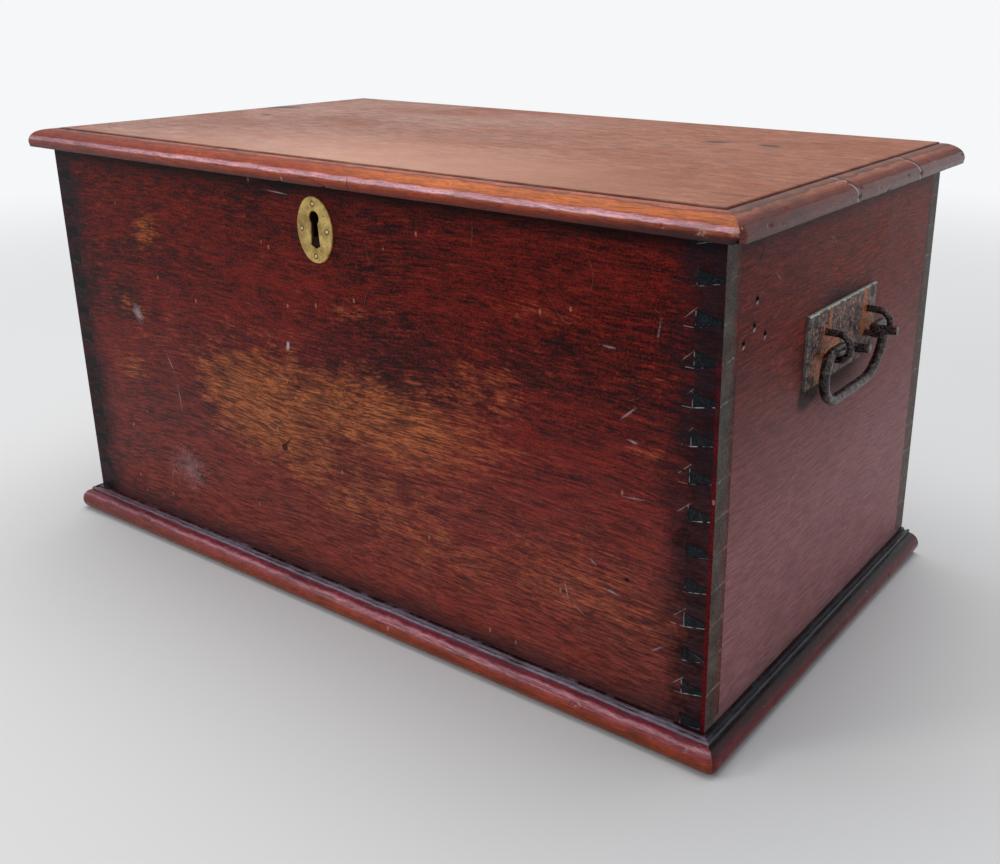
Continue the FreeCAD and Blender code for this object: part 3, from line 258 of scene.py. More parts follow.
def make_grain():
    """Mahogany with its grain along X, as masks.

    Cloud: broad changes of tone. Mottle: uneven patches down to a millimetre. Fine: long fine lines
    along the grain. Pores: dark open pores, in long lines and short dashes. Speck: grains of colour
    in no direction. Height: pores sink and fine lines rise.
    """
    tree, (where, pore_share) = new_effect("mahogany_grain", Vector=None, Pore_Share=0.5)
    bend = put("TexNoise", {"Vector": where, "Scale": 6.0, "Detail": 1.0}, out="Color")
    swing = put("VectorMath", {0: bend, 1: (0.5, 0.5, 0.5)}, operation="SUBTRACT")
    shift = put("VectorMath", {0: swing, 1: (0.0, 0.022, 0.022)}, operation="MULTIPLY")
    bent = put("VectorMath", {0: where, 1: shift}, operation="ADD")
    cloud = stretched(bent, (4, 17, 17), 4.0, 0.62)
    mottle = stretched(bent, (48, 125, 125), 7.0, 0.8)
    fine = stretched(bent, (42, 560, 560), 5.0, 0.74)
    long = stretched(bent, (34, 760, 760), 3.0, 0.62)
    short = stretched(bent, (150, 2100, 2100), 1.0, 0.5)
    crowd = 0.7 - 0.2 * pore_share - 0.16 * mottle
    pores = most(between(long - crowd, -0.01, 0.11), between(short - crowd, 0.02, 0.12))
    height = 0.5 * fine - 0.8 * pores
    speck = noise(where, 620.0, 3.0, 0.7)
    return give(tree, Cloud=cloud, Mottle=mottle, Fine=fine, Pores=pores, Speck=speck,
                Height=height)


grain_effect = make_grain()


def make_wear():
    """Use marks: pale specks and nicks, thin curved scratches and soft grime, each a mask."""
    tree, (where, seed) = new_effect("use_marks", Vector=None, Seed=0.0)
    moved = put("VectorMath", {0: seed, 1: (3.7, 1.9, 5.3)}, operation="MULTIPLY")
    where = mapped(where, Location=moved)
    stretch = mapped(where, Scale=(120, 120, 62))
    cells = put("TexVoronoi", {"Vector": stretch, "Scale": 1.0}, out=None).outputs
    chance = put("SeparateColor", {"Color": Value(cells["Color"])}, out=None).outputs
    size = 0.09 * Value(chance[1]) + 0.03
    dots = between(Value(cells["Distance"]) - size, 0.02, -0.02) * (Value(chance[0]) > 0.86)
    lines = noise(mapped(where, Scale=(14, 14, 14), Rotation=(0.5, 0.8, 0.3)), 1.0, 0.0,
                  distortion=0.5)
    thin = between(abs(lines - 0.5), 0.0022, 0.0005)
    scratches = thin * between(noise(where, 31.0), 0.56, 0.66)
    grime = noise(where, 42.0, 5.0, 0.7)
    blotch = noise(where, 7.0, 3.0, 0.6)
    return give(tree, Specks=dots, Scratches=scratches, Grime=grime, Blotch=blotch)


wear_effect = make_wear()

# The walls, their boards' thickness, and the joints' pins by their middles and half widths
HALF_WIDTH, HALF_DEPTH, MIDDLE_Y, BOARD, WALL_TOP = 0.343, 0.1885, 0.005, 0.019, 0.3584
PIN_PITCH, FIRST_PIN, PIN_NARROW, PIN_WIDE = 0.025585, 0.051485, 0.0011, 0.00525


def make_dovetails():
    """Masks of the corner joints, worked out from the boards' sizes.

    Pins: inside a pin where the height to the nearest pin's middle is under its half width, which
    grows evenly from the corner to the inner face. Joint: close to that border. Glue: pale filler
    along the lower border and the inner end, thin and broken. Strip: the tails' end grain on the
    side, and Seam its inner border. Arris: the rubbed corner. Corner: the dirt beside it. Inside:
    the walls' inner faces.
    """
    tree, (where,) = new_effect("dovetails", Vector=None)
    x, y, z = split(where)
    shaky = noise(where, 120.0, 3.0)
    broken = noise(where, 260.0, 3.0)
    lost = noise(where, 48.0, 3.0)
    # How far in from the corner, inward along the front and along the side
    wide = abs(x)
    deep = abs(y - MIDDLE_Y)
    on_face = deep > HALF_DEPTH - 0.0001
    on_side = wide > HALF_WIDTH - 0.0001
    on_right = x > 0.0
    inward = HALF_WIDTH - wide
    along = HALF_DEPTH - deep
    # The nearest pin: its number, how far off its middle is, its half width and a chance of its own
    step = (z - FIRST_PIN) / PIN_PITCH
    number = maths("ROUND", step)
    off = (step - number) * PIN_PITCH
    rise = abs(off)
    luck = put("TexWhiteNoise", {"W": number}, noise_dimensions="1D")
    half = inward * ((PIN_WIDE - PIN_NARROW) / BOARD) + PIN_NARROW
    over = rise - half
    near = inward < BOARD
    # The pin and its outline
    pins = on_face * near * between(over, 0.0001, -0.0001)
    width = 0.0011 * shaky - 0.00015
    flank = near * between(abs(over) - width, 0.0002, -0.0001)
    tip = (rise < PIN_WIDE) * between(abs(inward - BOARD) - width, 0.0002, -0.0001)
    joint = on_face * most(flank, tip)
    # Glue under the pin, along a saw cut past it, in a slanting flick and at its inner end
    hair = 0.00085 * broken - 0.00022
    under = abs(off + (half + 0.00015))
    lower = near * (inward > 0.0035) * between(under - hair, 0.00012, -5e-05)
    saw = between(abs(off + (PIN_WIDE + 0.0003)), 0.00032, 0.0001)
    saw = saw * (inward > BOARD) * (inward < 0.012 * luck + BOARD)
    slope = 0.9 * inward + off - (0.004 * luck + 0.021)
    flick = between(abs(slope) - hair, 0.00018, -5e-05) * (luck > 0.45)
    flick = flick * (inward > BOARD - 0.001) * (inward < BOARD + 0.008)
    end_line = (rise < PIN_WIDE) * between(abs(inward - (BOARD + 0.0001)) - hair, 0.00012, -5e-05)
    flecks = between(broken, 0.4, 0.56) * between(lost, 0.4, 0.54)
    glue = flecks * most(lower, 0.7 * saw, 0.55 * flick, 0.7 * end_line)
    glue = on_face * glue * (0.8 * on_right + 0.2)
    # On the side: end grain, its inner border and glue that slants across it
    strip = on_side * between(0.006 * shaky + along, BOARD + 0.005, BOARD - 0.006)
    seam = on_side * between(broken, 0.42, 0.5) * between(abs(along - BOARD), 0.0009, 0.0003)
    slant = off + 0.0013 - 0.16 * along
    across = on_side * between(abs(slant) - hair, 0.00015, -5e-05)
    across = across * between(luck, 0.25, 0.5) * (along < 0.012 * luck + 0.009)
    glue = most(glue, across * flecks)
    # Along the corner: an arris rubbed red up to some height, and dirt with a ragged border
    arris = on_face * between(0.004 * shaky + inward, 0.006, 0.0046)
    arris = arris * (0.85 * on_right + 0.15) * between(0.25 * lost + z, 0.42, 0.34)
    corner = on_face * between(0.022 * broken + 0.04 * lost + inward, 0.078, 0.044)
    inside = (wide < HALF_WIDTH - BOARD + 0.0003) * (deep < HALF_DEPTH - BOARD + 0.0003)
    return give(tree, Pins=pins, Joint=joint, Glue=glue, Strip=strip, Seam=seam, Arris=arris,
                Corner=corner, Inside=inside)


dovetail_effect = make_dovetails()


def effect(group, **inputs):
    """Places a shader group and returns its outputs by name."""
    made = put("Group", {}, inputs["Vector"].socket.id_data, None, node_tree=group)
    for name, value in inputs.items():
        feed(made, name, value)
    return {socket.name: Value(socket) for socket in made.outputs}


def new_wood(name, roughness, specular, turn, pore_share, seed):
    """A new finish, its shader and coordinates, the wood's grain turned about Z by an angle, and
    use marks that differ by the seed."""
    material, skin, where = new_finish(name, roughness, specular)
    turned = mapped(where, Rotation=(0, 0, math.radians(turn)))
    return (material, skin, where, effect(grain_effect, Vector=turned, Pore_Share=pore_share),
            effect(wear_effect, Vector=where, Seed=seed))


def bare_wood(grain, dark, light, pores):
    """Wood that was never polished."""
    body = tint(between(grain["Fine"], 0.3, 0.7), dark, light)
    return tint(0.6 * grain["Pores"], body, pores)


def relief(skin, height, distance, strength=1.0, under=None):
    """A bump of the given height map on the shader's normal."""
    bump = {"Height": height, "Distance": distance, "Strength": strength}
    if under is not None:
        bump["Normal"] = under
    made = put("Bump", bump)
    feed(skin, "Normal", made)
    return made


def patchwork(where, patches, axis):
    """Soft ovals added up, seen along an axis. Each has its place and its reach, both as two
    numbers, its turn and its share."""
    ovals = []
    for across, up, wide, high, turn, share in patches:
        middle, reach = [across, up], [wide, high]
        middle.insert(axis, 0.0)
        reach.insert(axis, 9.0)
        ovals.append(oval(where, middle, reach, turn, axis) * share)
    return sum(ovals[1:], ovals[0])


def wall_finish(name, turn, colours, worn, foot_bounce_and_wear, dust_sheen_share, scars=(), stains=()):
    """Polished mahogany of a wall, its grain turned by an angle about Z.

    Colours are dark, red, and worn orange-brown on the left and on the right. Worn lists soft ovals
    where the polish has gone, scars pale ones and stains dark ones, some of them painted shade.
    After worn come how much redder and lighter the foot is, by worn polish and painted light
    bounced from the floor, and how much dust with a painted sheen is on it.
    """
    material, skin, where, grain, marks = new_wood(name, 0.42, 0.05, turn, 0.5, turn / 90)
    axis = 1 if turn == 0 else 0
    joints = effect(dovetail_effect, Vector=where)
    x, _, z = split(where)
    dark, red, orange, orange_right = colours
    # Streaks of polish; the foot lighter and more orange, by worn polish and painted light bounced
    # from the floor
    tone = (0.3 * grain["Fine"] + 0.26 * grain["Mottle"]
            + 0.2 * grain["Cloud"] + 0.24 * grain["Speck"])
    low = between(z, 0.24, 0.03) * between(x, -0.5, -0.1)
    low = low * (0.8 * between(grain["Fine"], 0.4, 0.6) + 0.2)
    body = tint(between(tone, 0.45, 0.55, "LINEAR"), dark, red)
    body = tint(low * foot_bounce_and_wear, body, (150, 62, 40))
    # Places where the polish has gone
    lively = 2.6 * grain["Mottle"] + grain["Fine"] + 0.9 * marks["Grime"] - 2.25
    bare = between(lively + patchwork(where, worn, axis), 0.3, 0.95, "LINEAR")
    worn_tone = tint(between(x, 0.0, 0.22), orange, orange_right)
    worn_tone = tint(between(grain["Fine"], 0.58, 0.4), worn_tone, tint(0.66, worn_tone, dark))
    # Open pores, dirt above the base moulding, a painted shadow under the lid, and a film of dust
    # with a painted sheen
    dirt = between(z - 0.018 * marks["Grime"], 0.036, 0.014)
    # A painted shadow of the lid along the top of the wall, kept off its bare top edge
    shade = between(0.012 * grain["Mottle"] + z, 0.346, 0.364) * (z < WALL_TOP - 0.0001)
    # Dust with a painted sheen, heavier towards the foot
    dust_and_sheen = (0.97 * between(z, 0.31, 0.1) + 0.03) * (0.8 * marks["Grime"] + 0.6)
    dust_and_sheen = dust_and_sheen * (0.4 * between(grain["Fine"], 0.4, 0.6) + 0.8)
    body = coats(body, (bare, worn_tone), (grain["Pores"] * (0.25 * bare + 0.5), (30, 12, 12)),
                 (0.75 * dirt, (24, 12, 16)), (0.94 * shade, (9, 2, 3)),
                 (dust_sheen_share * dust_and_sheen, (172, 128, 132)))
    # Stains, with some painted shade among them: the plates' shadows, a chip's notch and the
    # keyhole's inside
    if stains:
        stained = between(patchwork(where, stains, axis), 0.1, 0.45)
        body = tint(0.85 * stained, body, (18, 10, 12))
    if scars:
        scarred = between(0.9 * (grain["Speck"] + grain["Mottle"]) + patchwork(where, scars, axis),
                          1.1, 2.1, "LINEAR")
        body = tint(scarred, body, (168, 156, 164))
    # The corners: dirt, pins and their outlines, the rubbed arris, end grain and old glue
    edge_tone = tint(between(grain["Mottle"], 0.46, 0.58), (17, 24, 32), (28, 12, 15))
    pin_tone = tint(between(0.2 * (x > 0.0) + grain["Speck"], 0.55, 1.0), (9, 13, 17), (32, 52, 60))
    rubbed = tint(between(grain["Speck"], 0.3, 0.7), (52, 5, 9), (112, 18, 20))
    strip_tone = tint(between(0.4 * grain["Speck"] + 0.6 * marks["Grime"], 0.35, 0.68),
                      (56, 52, 48), (108, 104, 96))
    body = coats(body, (joints["Corner"] * (1.5 * grain["Mottle"] + 0.06), edge_tone),
                 (0.85 * joints["Pins"], pin_tone), (0.75 * joints["Joint"], (12, 12, 15)),
                 (0.85 * joints["Arris"], rubbed), (0.82 * joints["Strip"], strip_tone),
                 (0.35 * joints["Seam"], (26, 18, 20)), (0.85 * joints["Glue"], (158, 164, 162)))
    # Chips and scratches, and the bare wood inside the chest
    chips = 0.6 * marks["Specks"] + 0.35 * marks["Scratches"]
    raw = bare_wood(grain, (96, 62, 42), (150, 106, 74), (54, 32, 22))
    feed(skin, "Base Color", coats(body, (chips, (176, 122, 96)), (joints["Inside"], raw)))
    feed(skin, "Roughness", 0.22 * marks["Grime"] + 0.26 + 0.18 * most(joints["Inside"], bare))
    hollow = -1.2 * most(joints["Joint"], marks["Scratches"])
    relief(skin, grain["Height"] + hollow, 0.00022, 0.8)
    return material


def dress(material, *starts):
    """Gives the CAD nodes whose names start so a material, in place of their plain one."""
    for name, node in shown.items():
        if name.startswith(starts):
            node.data.materials.clear()
            node.data.materials.append(material)


# Front: worn in a broad band across the middle, and in patches at the left and along the foot.
# Places are along X and Z.
FRONT_WORN = [(-0.01, 0.182, 0.25, 0.062, 3, 0.85), (-0.095, 0.155, 0.09, 0.055, 6, 0.75),
              (0.105, 0.185, 0.12, 0.045, -2, 0.6), (0.16, 0.232, 0.08, 0.03, 0, 0.55),
              (-0.222, 0.296, 0.032, 0.03, 30, 0.8), (-0.26, 0.222, 0.04, 0.022, 10, 0.6),
              (-0.265, 0.163, 0.05, 0.02, 5, 0.75), (0.13, 0.085, 0.22, 0.05, 2, 0.55),
              (0.25, 0.11, 0.1, 0.05, 5, 0.55), (-0.02, 0.12, 0.16, 0.04, 4, 0.6),
              (0.298, 0.212, 0.025, 0.008, 5, 0.6), (0.2, 0.29, 0.07, 0.016, 2, 0.3),
              (0.292, 0.262, 0.03, 0.01, -3, 0.4), (0.03, 0.262, 0.1, 0.018, 3, 0.3),
              (0.215, 0.03, 0.12, 0.018, 1, 0.4)]
FRONT_SCARS = [(-0.0456, 0.2229, 0.0024, 0.005, 12, 2.6),
               (-0.2456, 0.2174, 0.009, 0.014, -25, 0.9), (-0.1954, 0.0785, 0.045, 0.034, 0, 0.45),
               (0.278, 0.237, 0.013, 0.0013, -41, 0.9), (0.283, 0.1785, 0.012, 0.0009, -6, 0.8),
               (0.2816, 0.2181, 0.0055, 0.0015, 8, 1.0), (0.2514, 0.1221, 0.0055, 0.0015, 25, 0.9),
               (0.2673, 0.1041, 0.009, 0.0018, 8, 1.0), (0.229, 0.093, 0.014, 0.0013, 75, 0.8),
               (0.241, 0.08, 0.011, 0.0013, 30, 0.7), (-0.2058, 0.1777, 0.014, 0.0013, 62, 0.8),
               (-0.1978, 0.1466, 0.021, 0.0012, 84, 0.8), (-0.043, 0.3462, 0.02, 0.0009, 3, 1.0),
               (0.305, 0.0735, 0.009, 0.0012, -35, 0.9), (0.299, 0.297, 0.0012, 0.012, 8, 0.7),
               (0.262, 0.2785, 0.01, 0.0011, 2, 0.9)]
# Stains along X and Z: the one at the lid's edge is the painted shade in a chip's notch, and the
# one at the escutcheon's middle is the painted shade inside its keyhole
FRONT_STAINS = [(-0.0601, 0.132, 0.0044, 0.004, 0, 1.3),
                (-0.0545, 0.1385, 0.011, 0.0013, -45, 0.6),
                (0.2792, 0.1172, 0.0034, 0.0026, 0, 0.7), (-0.04, 0.353, 0.03, 0.006, 0, 0.8),
                (-0.003, 0.322, 0.019, 0.026, 0, 1.5)]
FRONT_COLOURS = ((32, 6, 8), (129, 31, 20), (184, 102, 55), (182, 88, 52))
front_wood = wall_finish("front_wood", 0, FRONT_COLOURS, FRONT_WORN, 0.72, 0.08, FRONT_SCARS,
                         FRONT_STAINS)
dress(front_wood, "front_board")
BACK_COLOURS = ((50, 20, 20), (94, 38, 30), (132, 76, 50), (132, 76, 50))
BACK_WORN = [(0.05, 0.2, 0.4, 0.16, 3, 0.5)]
back_wood = wall_finish("back_wood", 0, BACK_COLOURS, BACK_WORN, 0.2, 0.2)
dress(back_wood, "back_board")
# Sides: places along Y and Z. Pale rims under the right one's old nail holes, dark ones round them,
# and old dirt with a painted shadow about both plates.
SIDE_COLOURS = ((80, 19, 17), (126, 42, 30), (160, 76, 50), (160, 76, 50))
SIDE_WORN = [(0.02, 0.3, 0.12, 0.06, 10, 0.5), (-0.08, 0.26, 0.07, 0.05, 20, 0.5)]
SIDE_HOLES = ((-0.141, 0.3135), (-0.143, 0.2964), (-0.1272, 0.2877), (-0.1568, 0.2882))
SIDE_SCARS = [(-0.112, 0.322, 0.008, 0.0008, -35, 0.8), (0.06, 0.18, 0.016, 0.0008, 80, 0.6)]
SIDE_SCARS += [(y + 0.0004, z - 0.0024, 0.0026, 0.0017, 30, 1.5) for y, z in SIDE_HOLES]
# Dirt and the plates' painted shadow on the wood round them
PLATE_DIRT_AND_SHADOW = [(-0.002, 0.255, 0.094, 0.055, 0, 0.92), (-0.054, 0.224, 0.024, 0.014, 20, 0.6)]
SIDE_STAINS = PLATE_DIRT_AND_SHADOW + [(-0.1378, 0.342, 0.008, 0.0018, 60, 0.8)]
SIDE_STAINS += [(y, z, 0.0036, 0.0046, 0, 0.8) for y, z in SIDE_HOLES]
side_wood = wall_finish("side_wood", 90, SIDE_COLOURS, SIDE_WORN, 0.4, 0.54, SIDE_SCARS,
                        SIDE_STAINS)
dress(side_wood, "right_side_board")
LEFT_WORN = [(-0.06, 0.17, 0.13, 0.07, -8, 0.6), (0.1, 0.12, 0.08, 0.05, 15, 0.5)]
left_wood = wall_finish("left_wood", 90, SIDE_COLOURS, LEFT_WORN, 0.25, 0.45,
                        [(0.095, 0.21, 0.013, 0.0009, 60, 0.7)], PLATE_DIRT_AND_SHADOW)
dress(left_wood, "left_side_board")


# ---- Bottom boards and their nails ----
# Three plain softwood boards laid front to back and nailed up into the walls, never polished.

def bottom_finish():
    """Bare brown softwood with its grain along X, greyer and dirtier underneath."""
    material, skin, where, grain, marks = new_wood("bottom_boards", 0.8, 0.2, 0, 0.2, 4.0)
    _, y, z = split(where)
    body = tint(between(grain["Fine"], 0.34, 0.66), (112, 80, 52), (160, 124, 86))
    # Old dirt in the joints between the boards, which lie at the middle board's two edges
    from_joint = abs(abs(y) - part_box("bottom_board_middle")[1][1])
    seam = between(from_joint - 0.0012 * marks["Grime"], 0.0012, 0.0)
    body = coats(body, (0.5 * between(grain["Cloud"], 0.5, 0.7), (90, 62, 42)),
                 (marks["Grime"] * between(z, 0.006, 0.001), (70, 60, 52)),
                 (0.9 * seam, (30, 20, 14)))
    feed(skin, "Base Color", body)
    relief(skin, grain["Height"], 0.0003)
    return material


dress(bottom_finish(), "bottom_board")


def iron_finish(name, dark, pale, rust, rusted, roughness, pits=1.0, spots=()):
    """Old iron: brown-black skin, rubbed grey in specks, orange rust in patches, pitted.

    Spots are extra rust, each with its place along Y and Z, reach, turn and share.
    """
    material, skin, where = new_finish(name, roughness, 0.35)
    fine = noise(where, 560.0, 4.0, 0.75)
    broad = noise(where, 170.0, 5.0, 0.65)
    body = tint(between(0.6 * fine + 0.4 * broad, 0.47, 0.6, "LINEAR"), dark, pale)
    level = 0.35 * fine + 0.65 * broad
    if spots:
        level = level + patchwork(where, spots, 0)
    patch = between(level, 0.64 - 0.16 * rusted, 0.9 - 0.16 * rusted)
    deep_rust = [0.22 * c for c in rgb(*rust)[:3]] + [1]
    rust_tone = tint(between(fine, 0.42, 0.56), deep_rust, rust)
    feed(skin, "Base Color", tint(patch, body, rust_tone))
    feed(skin, "Roughness", 0.35 * fine + (roughness - 0.17))
    feed(skin, "Metallic", 0.25 - 0.2 * patch)
    cells = put("TexVoronoi", {"Vector": where, "Scale": 420.0})
    pit = between(cells, 0.28, 0.05) * -pits + (0.6 * fine + broad)
    relief(skin, pit, 0.0005, 0.8)
    return material


nail_iron = iron_finish("nail_iron", (40, 34, 32), (84, 76, 72), (104, 56, 30), 0.9, 0.6)
dress(nail_iron, "bottom_nails")


# ---- Base moulding ----
# Three lengths of one section: a flat, a small bead and a half round, cut in mahogany, mitred at
# the front corners and held by punched brads. Kicks have dented its nose and rounded its corners.

def arc(middle, radius, first, last, count):
    """Points of an arc in the section's plane, by the angle from first to last, in degrees."""
    angle = np.radians(np.linspace(first, last, count))
    return np.stack([middle[0] + radius * np.cos(angle), middle[1] + radius * np.sin(angle)], 1)


def run(start, end, count):
    """Points evenly spaced from start to end."""
    share = np.linspace(0, 1, count)[:, None]
    return np.array(start) * (1 - share) + np.array(end) * share


def waves(seed, *values, size, count=12):
    """Smooth unevenness from -1 to 1: sines of seeded directions and starts, averaged."""
    draw = np.random.default_rng(seed)
    total = 0.0
    for _ in range(count):
        way = draw.normal(0, 2 * np.pi / size, len(values))
        total = total + np.sin(sum(w * v for w, v in zip(way, values)) + draw.uniform(0, 6.283))
    return total / count ** 0.5 / 1.6


def settle(name, points, body, material, node):
    """Makes a piece of a body from rings of points, in place of a CAD node: quads join each ring to
    the next, a flat cap closes each end, doubled points are merged and the faces look outwards."""
    index = np.arange(points[..., 0].size).reshape(points.shape[:2])
    ahead = np.roll(index, -1, 1)
    quads = np.stack([index[:-1], ahead[:-1], ahead[1:], index[1:]], -1).reshape(-1, 4)
    caps = [index[0, ::-1].tolist(), index[-1].tolist()]
    mesh = bpy.data.meshes.new(name)
    mesh.from_pydata(points.reshape(-1, 3).tolist(), [], quads.tolist() + caps)
    work = bmesh.new()
    work.from_mesh(mesh)
    bmesh.ops.remove_doubles(work, verts=work.verts, dist=1e-6)
    bmesh.ops.recalc_face_normals(work, faces=work.faces)
    work.to_mesh(mesh)
    work.free()
    mesh.shade_smooth()
    mesh.set_sharp_from_angle(angle=math.radians(40))
    mesh.materials.append(material)
    piece = bpy.data.objects.new(name, mesh)
    bpy.context.scene.collection.objects.link(piece)
    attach(piece, body)
    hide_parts(node)


def worn(along, outward, up, seed, fine, broad, dent_size, nose):
    """How deep a moulding is worn: a fine and a broad wave, each with its depth and size, and dents
    up to 1 mm deep where a third wave passes its crest, from the nose's distance out."""
    soft = (fine[0] * (1 + waves(seed, along, up, size=fine[1]))
            + broad[0] * (1 + waves(seed + 1, along, size=broad[1])))
    dent = np.clip(waves(seed + 2, along, up, size=dent_size) - 0.95, 0, 1) * 0.0032
    return soft + dent * np.clip((outward - nose) / 0.004, 0, 1)


def moulding(section, wear, side, back, cracks=(), spacing=0.0025):
    """One mitred length of moulding as rings of its section, run along the wall.

    Side 0 is the front, -1 and 1 the sides. A point of the section at a distance out from the wall
    runs straight to the mitre; beyond the worn corner's start it turns on, round the corner's
    centre, by half a right angle. Wear moves each point inwards, and cracks are notches V-shaped
    along the run, each with its place, width and depth.
    """
    outward, up = section.T
    fixed = np.minimum(outward, PROJECTION - CORNER_ROUND)
    turn = np.maximum(outward - (PROJECTION - CORNER_ROUND), 0)
    front = MIDDLE_Y - HALF_DEPTH
    length = back - front if side else HALF_WIDTH + CORNER_ROUND
    first, origin = (0, front) if side else (-length, 0)
    notches = [(place - origin) / length + np.linspace(-1, 1, 9) * width / length
               for place, width, _ in cracks]
    share = np.unique(np.concatenate([np.arange(first, length, spacing) / length,
                                      [first / length, 1], *notches]))[:, None]
    bend = np.radians(np.linspace(45, 90, 9)[:-1] if side else np.linspace(0, 45, 9)[1:])[:, None]
    corner_x = HALF_WIDTH + fixed + turn * np.sin(bend)
    corner_y = front - fixed - turn * np.cos(bend)
    if side:
        straight = front - fixed + share * (back - (front - fixed))
        x = side * np.concatenate([corner_x, 0 * straight + (HALF_WIDTH + outward)])
        along = y = np.concatenate([corner_y, straight])
    else:
        straight = share * (HALF_WIDTH + fixed)
        along = x = np.concatenate([-corner_x[::-1], straight, corner_x])
        y = np.concatenate([corner_y[::-1], 0 * straight + (front - outward), corner_y])
    slope = np.roll(section, -1, 0) - np.roll(section, 1, 0)
    normal = np.stack([slope[:, 1], -slope[:, 0]]) / (np.linalg.norm(slope, axis=1) + 1e-12)
    loss = worn(along, outward[None], up[None], *wear)
    for place, width, depth in cracks:
        notch = np.clip(1 - np.abs(along - place + 0.25 * (up - up.mean())) / width, 0, 1)
        loss = loss + notch * depth * (outward > 0.001)
    loss = loss * np.clip(outward / 0.004, 0, 1)
    if side:
        x = x - side * normal[0] * loss
    else:
        y = y + normal[0] * loss
    return np.stack([x, y, np.maximum(up - normal[1] * loss, up.min())], -1)


PROJECTION, CORNER_ROUND = 0.017, 0.008
BASE_SECTION = np.concatenate([
    run((0, 0), (0.0077, 0), 6)[:-1], arc((0.0077, 0.0093), 0.0093, -90, 90, 31),
    run((0.0077, 0.0186), (0.0077, 0.0203), 4)[1:-1], arc((0.0063, 0.0203), 0.0014, 0, 180, 13),
    run((0.0049, 0.0203), (0.0026, 0.0203), 5)[1:], run((0.0026, 0.0203), (0.0026, 0.022), 4)[1:],
    run((0.0026, 0.022), (0, 0.022), 4)[1:], run((0, 0.022), (0, 0), 10)[1:-1]])
BASE_WEAR = (11, (0.00004, 0.04), (0.00008, 0.25), 0.016, 0.009)


def ladder(value, stops):
    """Colours by a value from 0 to 1: each stop is its place and its 8-bit sRGB colour."""
    made = put("ValToRGB", {"Fac": value}, out=None)
    points = made.color_ramp.elements
    for place, *_ in stops[2:]:
        points.new(place)
    for point, (place, *colour) in zip(points, stops):
        point.position, point.color = place, rgb(*colour)
    return Value(made.outputs["Color"])


def moulding_finish(name, turn, low, high, stops, seed, crown, cracks=(), dusty=0.0, rubs=(),
                    amber=0.0):
    """Mahogany moulding: tones by height from low to high, fine grain, dry cracks across it.

    Stops are tones by height, with some light and shade painted in. Cracks are places along Y: a
    pale edge with a painted shadow beside it. Dusty is the share of pale rubbed specks, and rubs
    are balls within which the polish has gone, each with its middle and radius. Hands keep the nose
    glossy, and it is duller from the crown up, a share of the height. Amber is how golden the crown
    is on the right, where the foot of the nose is nearly black at the corner.
    """
    material, skin, where, grain, marks = new_wood(name, 0.3, 0.2, turn, 0.3, seed)
    x, y, z = split(where)
    share = (z - low) / (high - low) + 0.16 * (marks["Grime"] - 0.5)
    body = ladder(share, stops)
    if turn == 0:
        body = tint(0.5 * between(x, -0.08, -0.32), body, (88, 26, 36))
    if amber:
        crest = between(share, crown + 0.01, crown + 0.08) * between(share, 0.98, 0.93)
        foot = between(share, 0.42, 0.2) * between(x, 0.14, 0.36)
        body = coats(body, (amber * crest * between(x, -0.02, 0.12), (200, 106, 48)),
                     (0.85 * foot, (44, 20, 26)))
    shade = (0.42 * between(0.5 * grain["Mottle"] + 0.5 * grain["Fine"], 0.58, 0.42)
             + 0.22 * between(marks["Blotch"], 0.45, 0.7))
    rubbed = (0.35 * marks["Specks"]
              + dusty * between(0.6 * grain["Speck"] + 0.5 * marks["Grime"], 0.6, 0.74))
    body = coats(body, (shade, (34, 12, 12)), (0.5 * grain["Pores"], (28, 10, 10)),
                 (rubbed, (196, 168, 156)))
    for *middle, radius in rubs:
        spot = 1.6 * (grain["Mottle"] + grain["Speck"]) + oval(where, middle, [radius] * 3)
        body = tint(0.6 * between(spot, 2.05, 2.45), body, (176, 138, 118))
    middle_height = low + 0.56 * (high - low)
    # Each crack: a pale edge with a painted shadow beside it
    for place in cracks:
        line = y - place + 0.25 * (z - middle_height) + 0.0016 * grain["Speck"]
        body = coats(body, (0.75 * between(abs(line - 0.0036), 0.004, 0.0006), (34, 26, 28)),
                     (0.8 * between(abs(line), 0.0008, 0.0003), (190, 182, 178)))
    feed(skin, "Base Color", body)
    dull = between(share, crown - 0.05, crown + 0.05)
    feed(skin, "Roughness", 0.22 * marks["Grime"] + (0.36 * dull + 0.12))
    first = relief(skin, between(noise(where, 170.0), 0.76, 0.68), 0.0003, 0.6)
    relief(skin, grain["Height"], 8e-05, 0.6, under=first)
    return material


BASE_HEIGHT = 0.022
# Tones up the front's height: a painted highlight along the nose at 0.765, dust with a painted
# reflection in the flat's blue-grey at 0.92 and 0.97, and dirt with painted shade in the crease by
# the wall at 1.0
BASE_FRONT_TONES_AND_LIGHT = ((0.0, 112, 42, 18), (0.34, 146, 58, 24), (0.5, 160, 68, 38),
                    (0.61, 158, 62, 56), (0.7, 150, 68, 74), (0.765, 206, 140, 150),
                    (0.82, 142, 46, 60), (0.88, 118, 70, 84), (0.92, 150, 140, 156),
                    (0.97, 132, 118, 130), (1.0, 40, 16, 18))
BASE_SIDE_TONES = ((0.0, 84, 34, 34), (0.34, 104, 26, 30), (0.52, 118, 32, 42), (0.7, 72, 14, 24),
                   (0.83, 20, 16, 20), (0.9, 72, 76, 82), (0.96, 62, 68, 74), (1.0, 28, 22, 26))
BASE_RUBS = ((0.349, -0.19, 0.014, 0.012), (0.343, -0.196, 0.02, 0.008))
base_front_wood = moulding_finish("base_front_wood", 0, 0.0, BASE_HEIGHT, BASE_FRONT_TONES_AND_LIGHT, 7.0,
                                  1.2, rubs=BASE_RUBS)
base_side_wood = moulding_finish("base_side_wood", 90, 0.0, BASE_HEIGHT, BASE_SIDE_TONES, 8.0, 1.2)
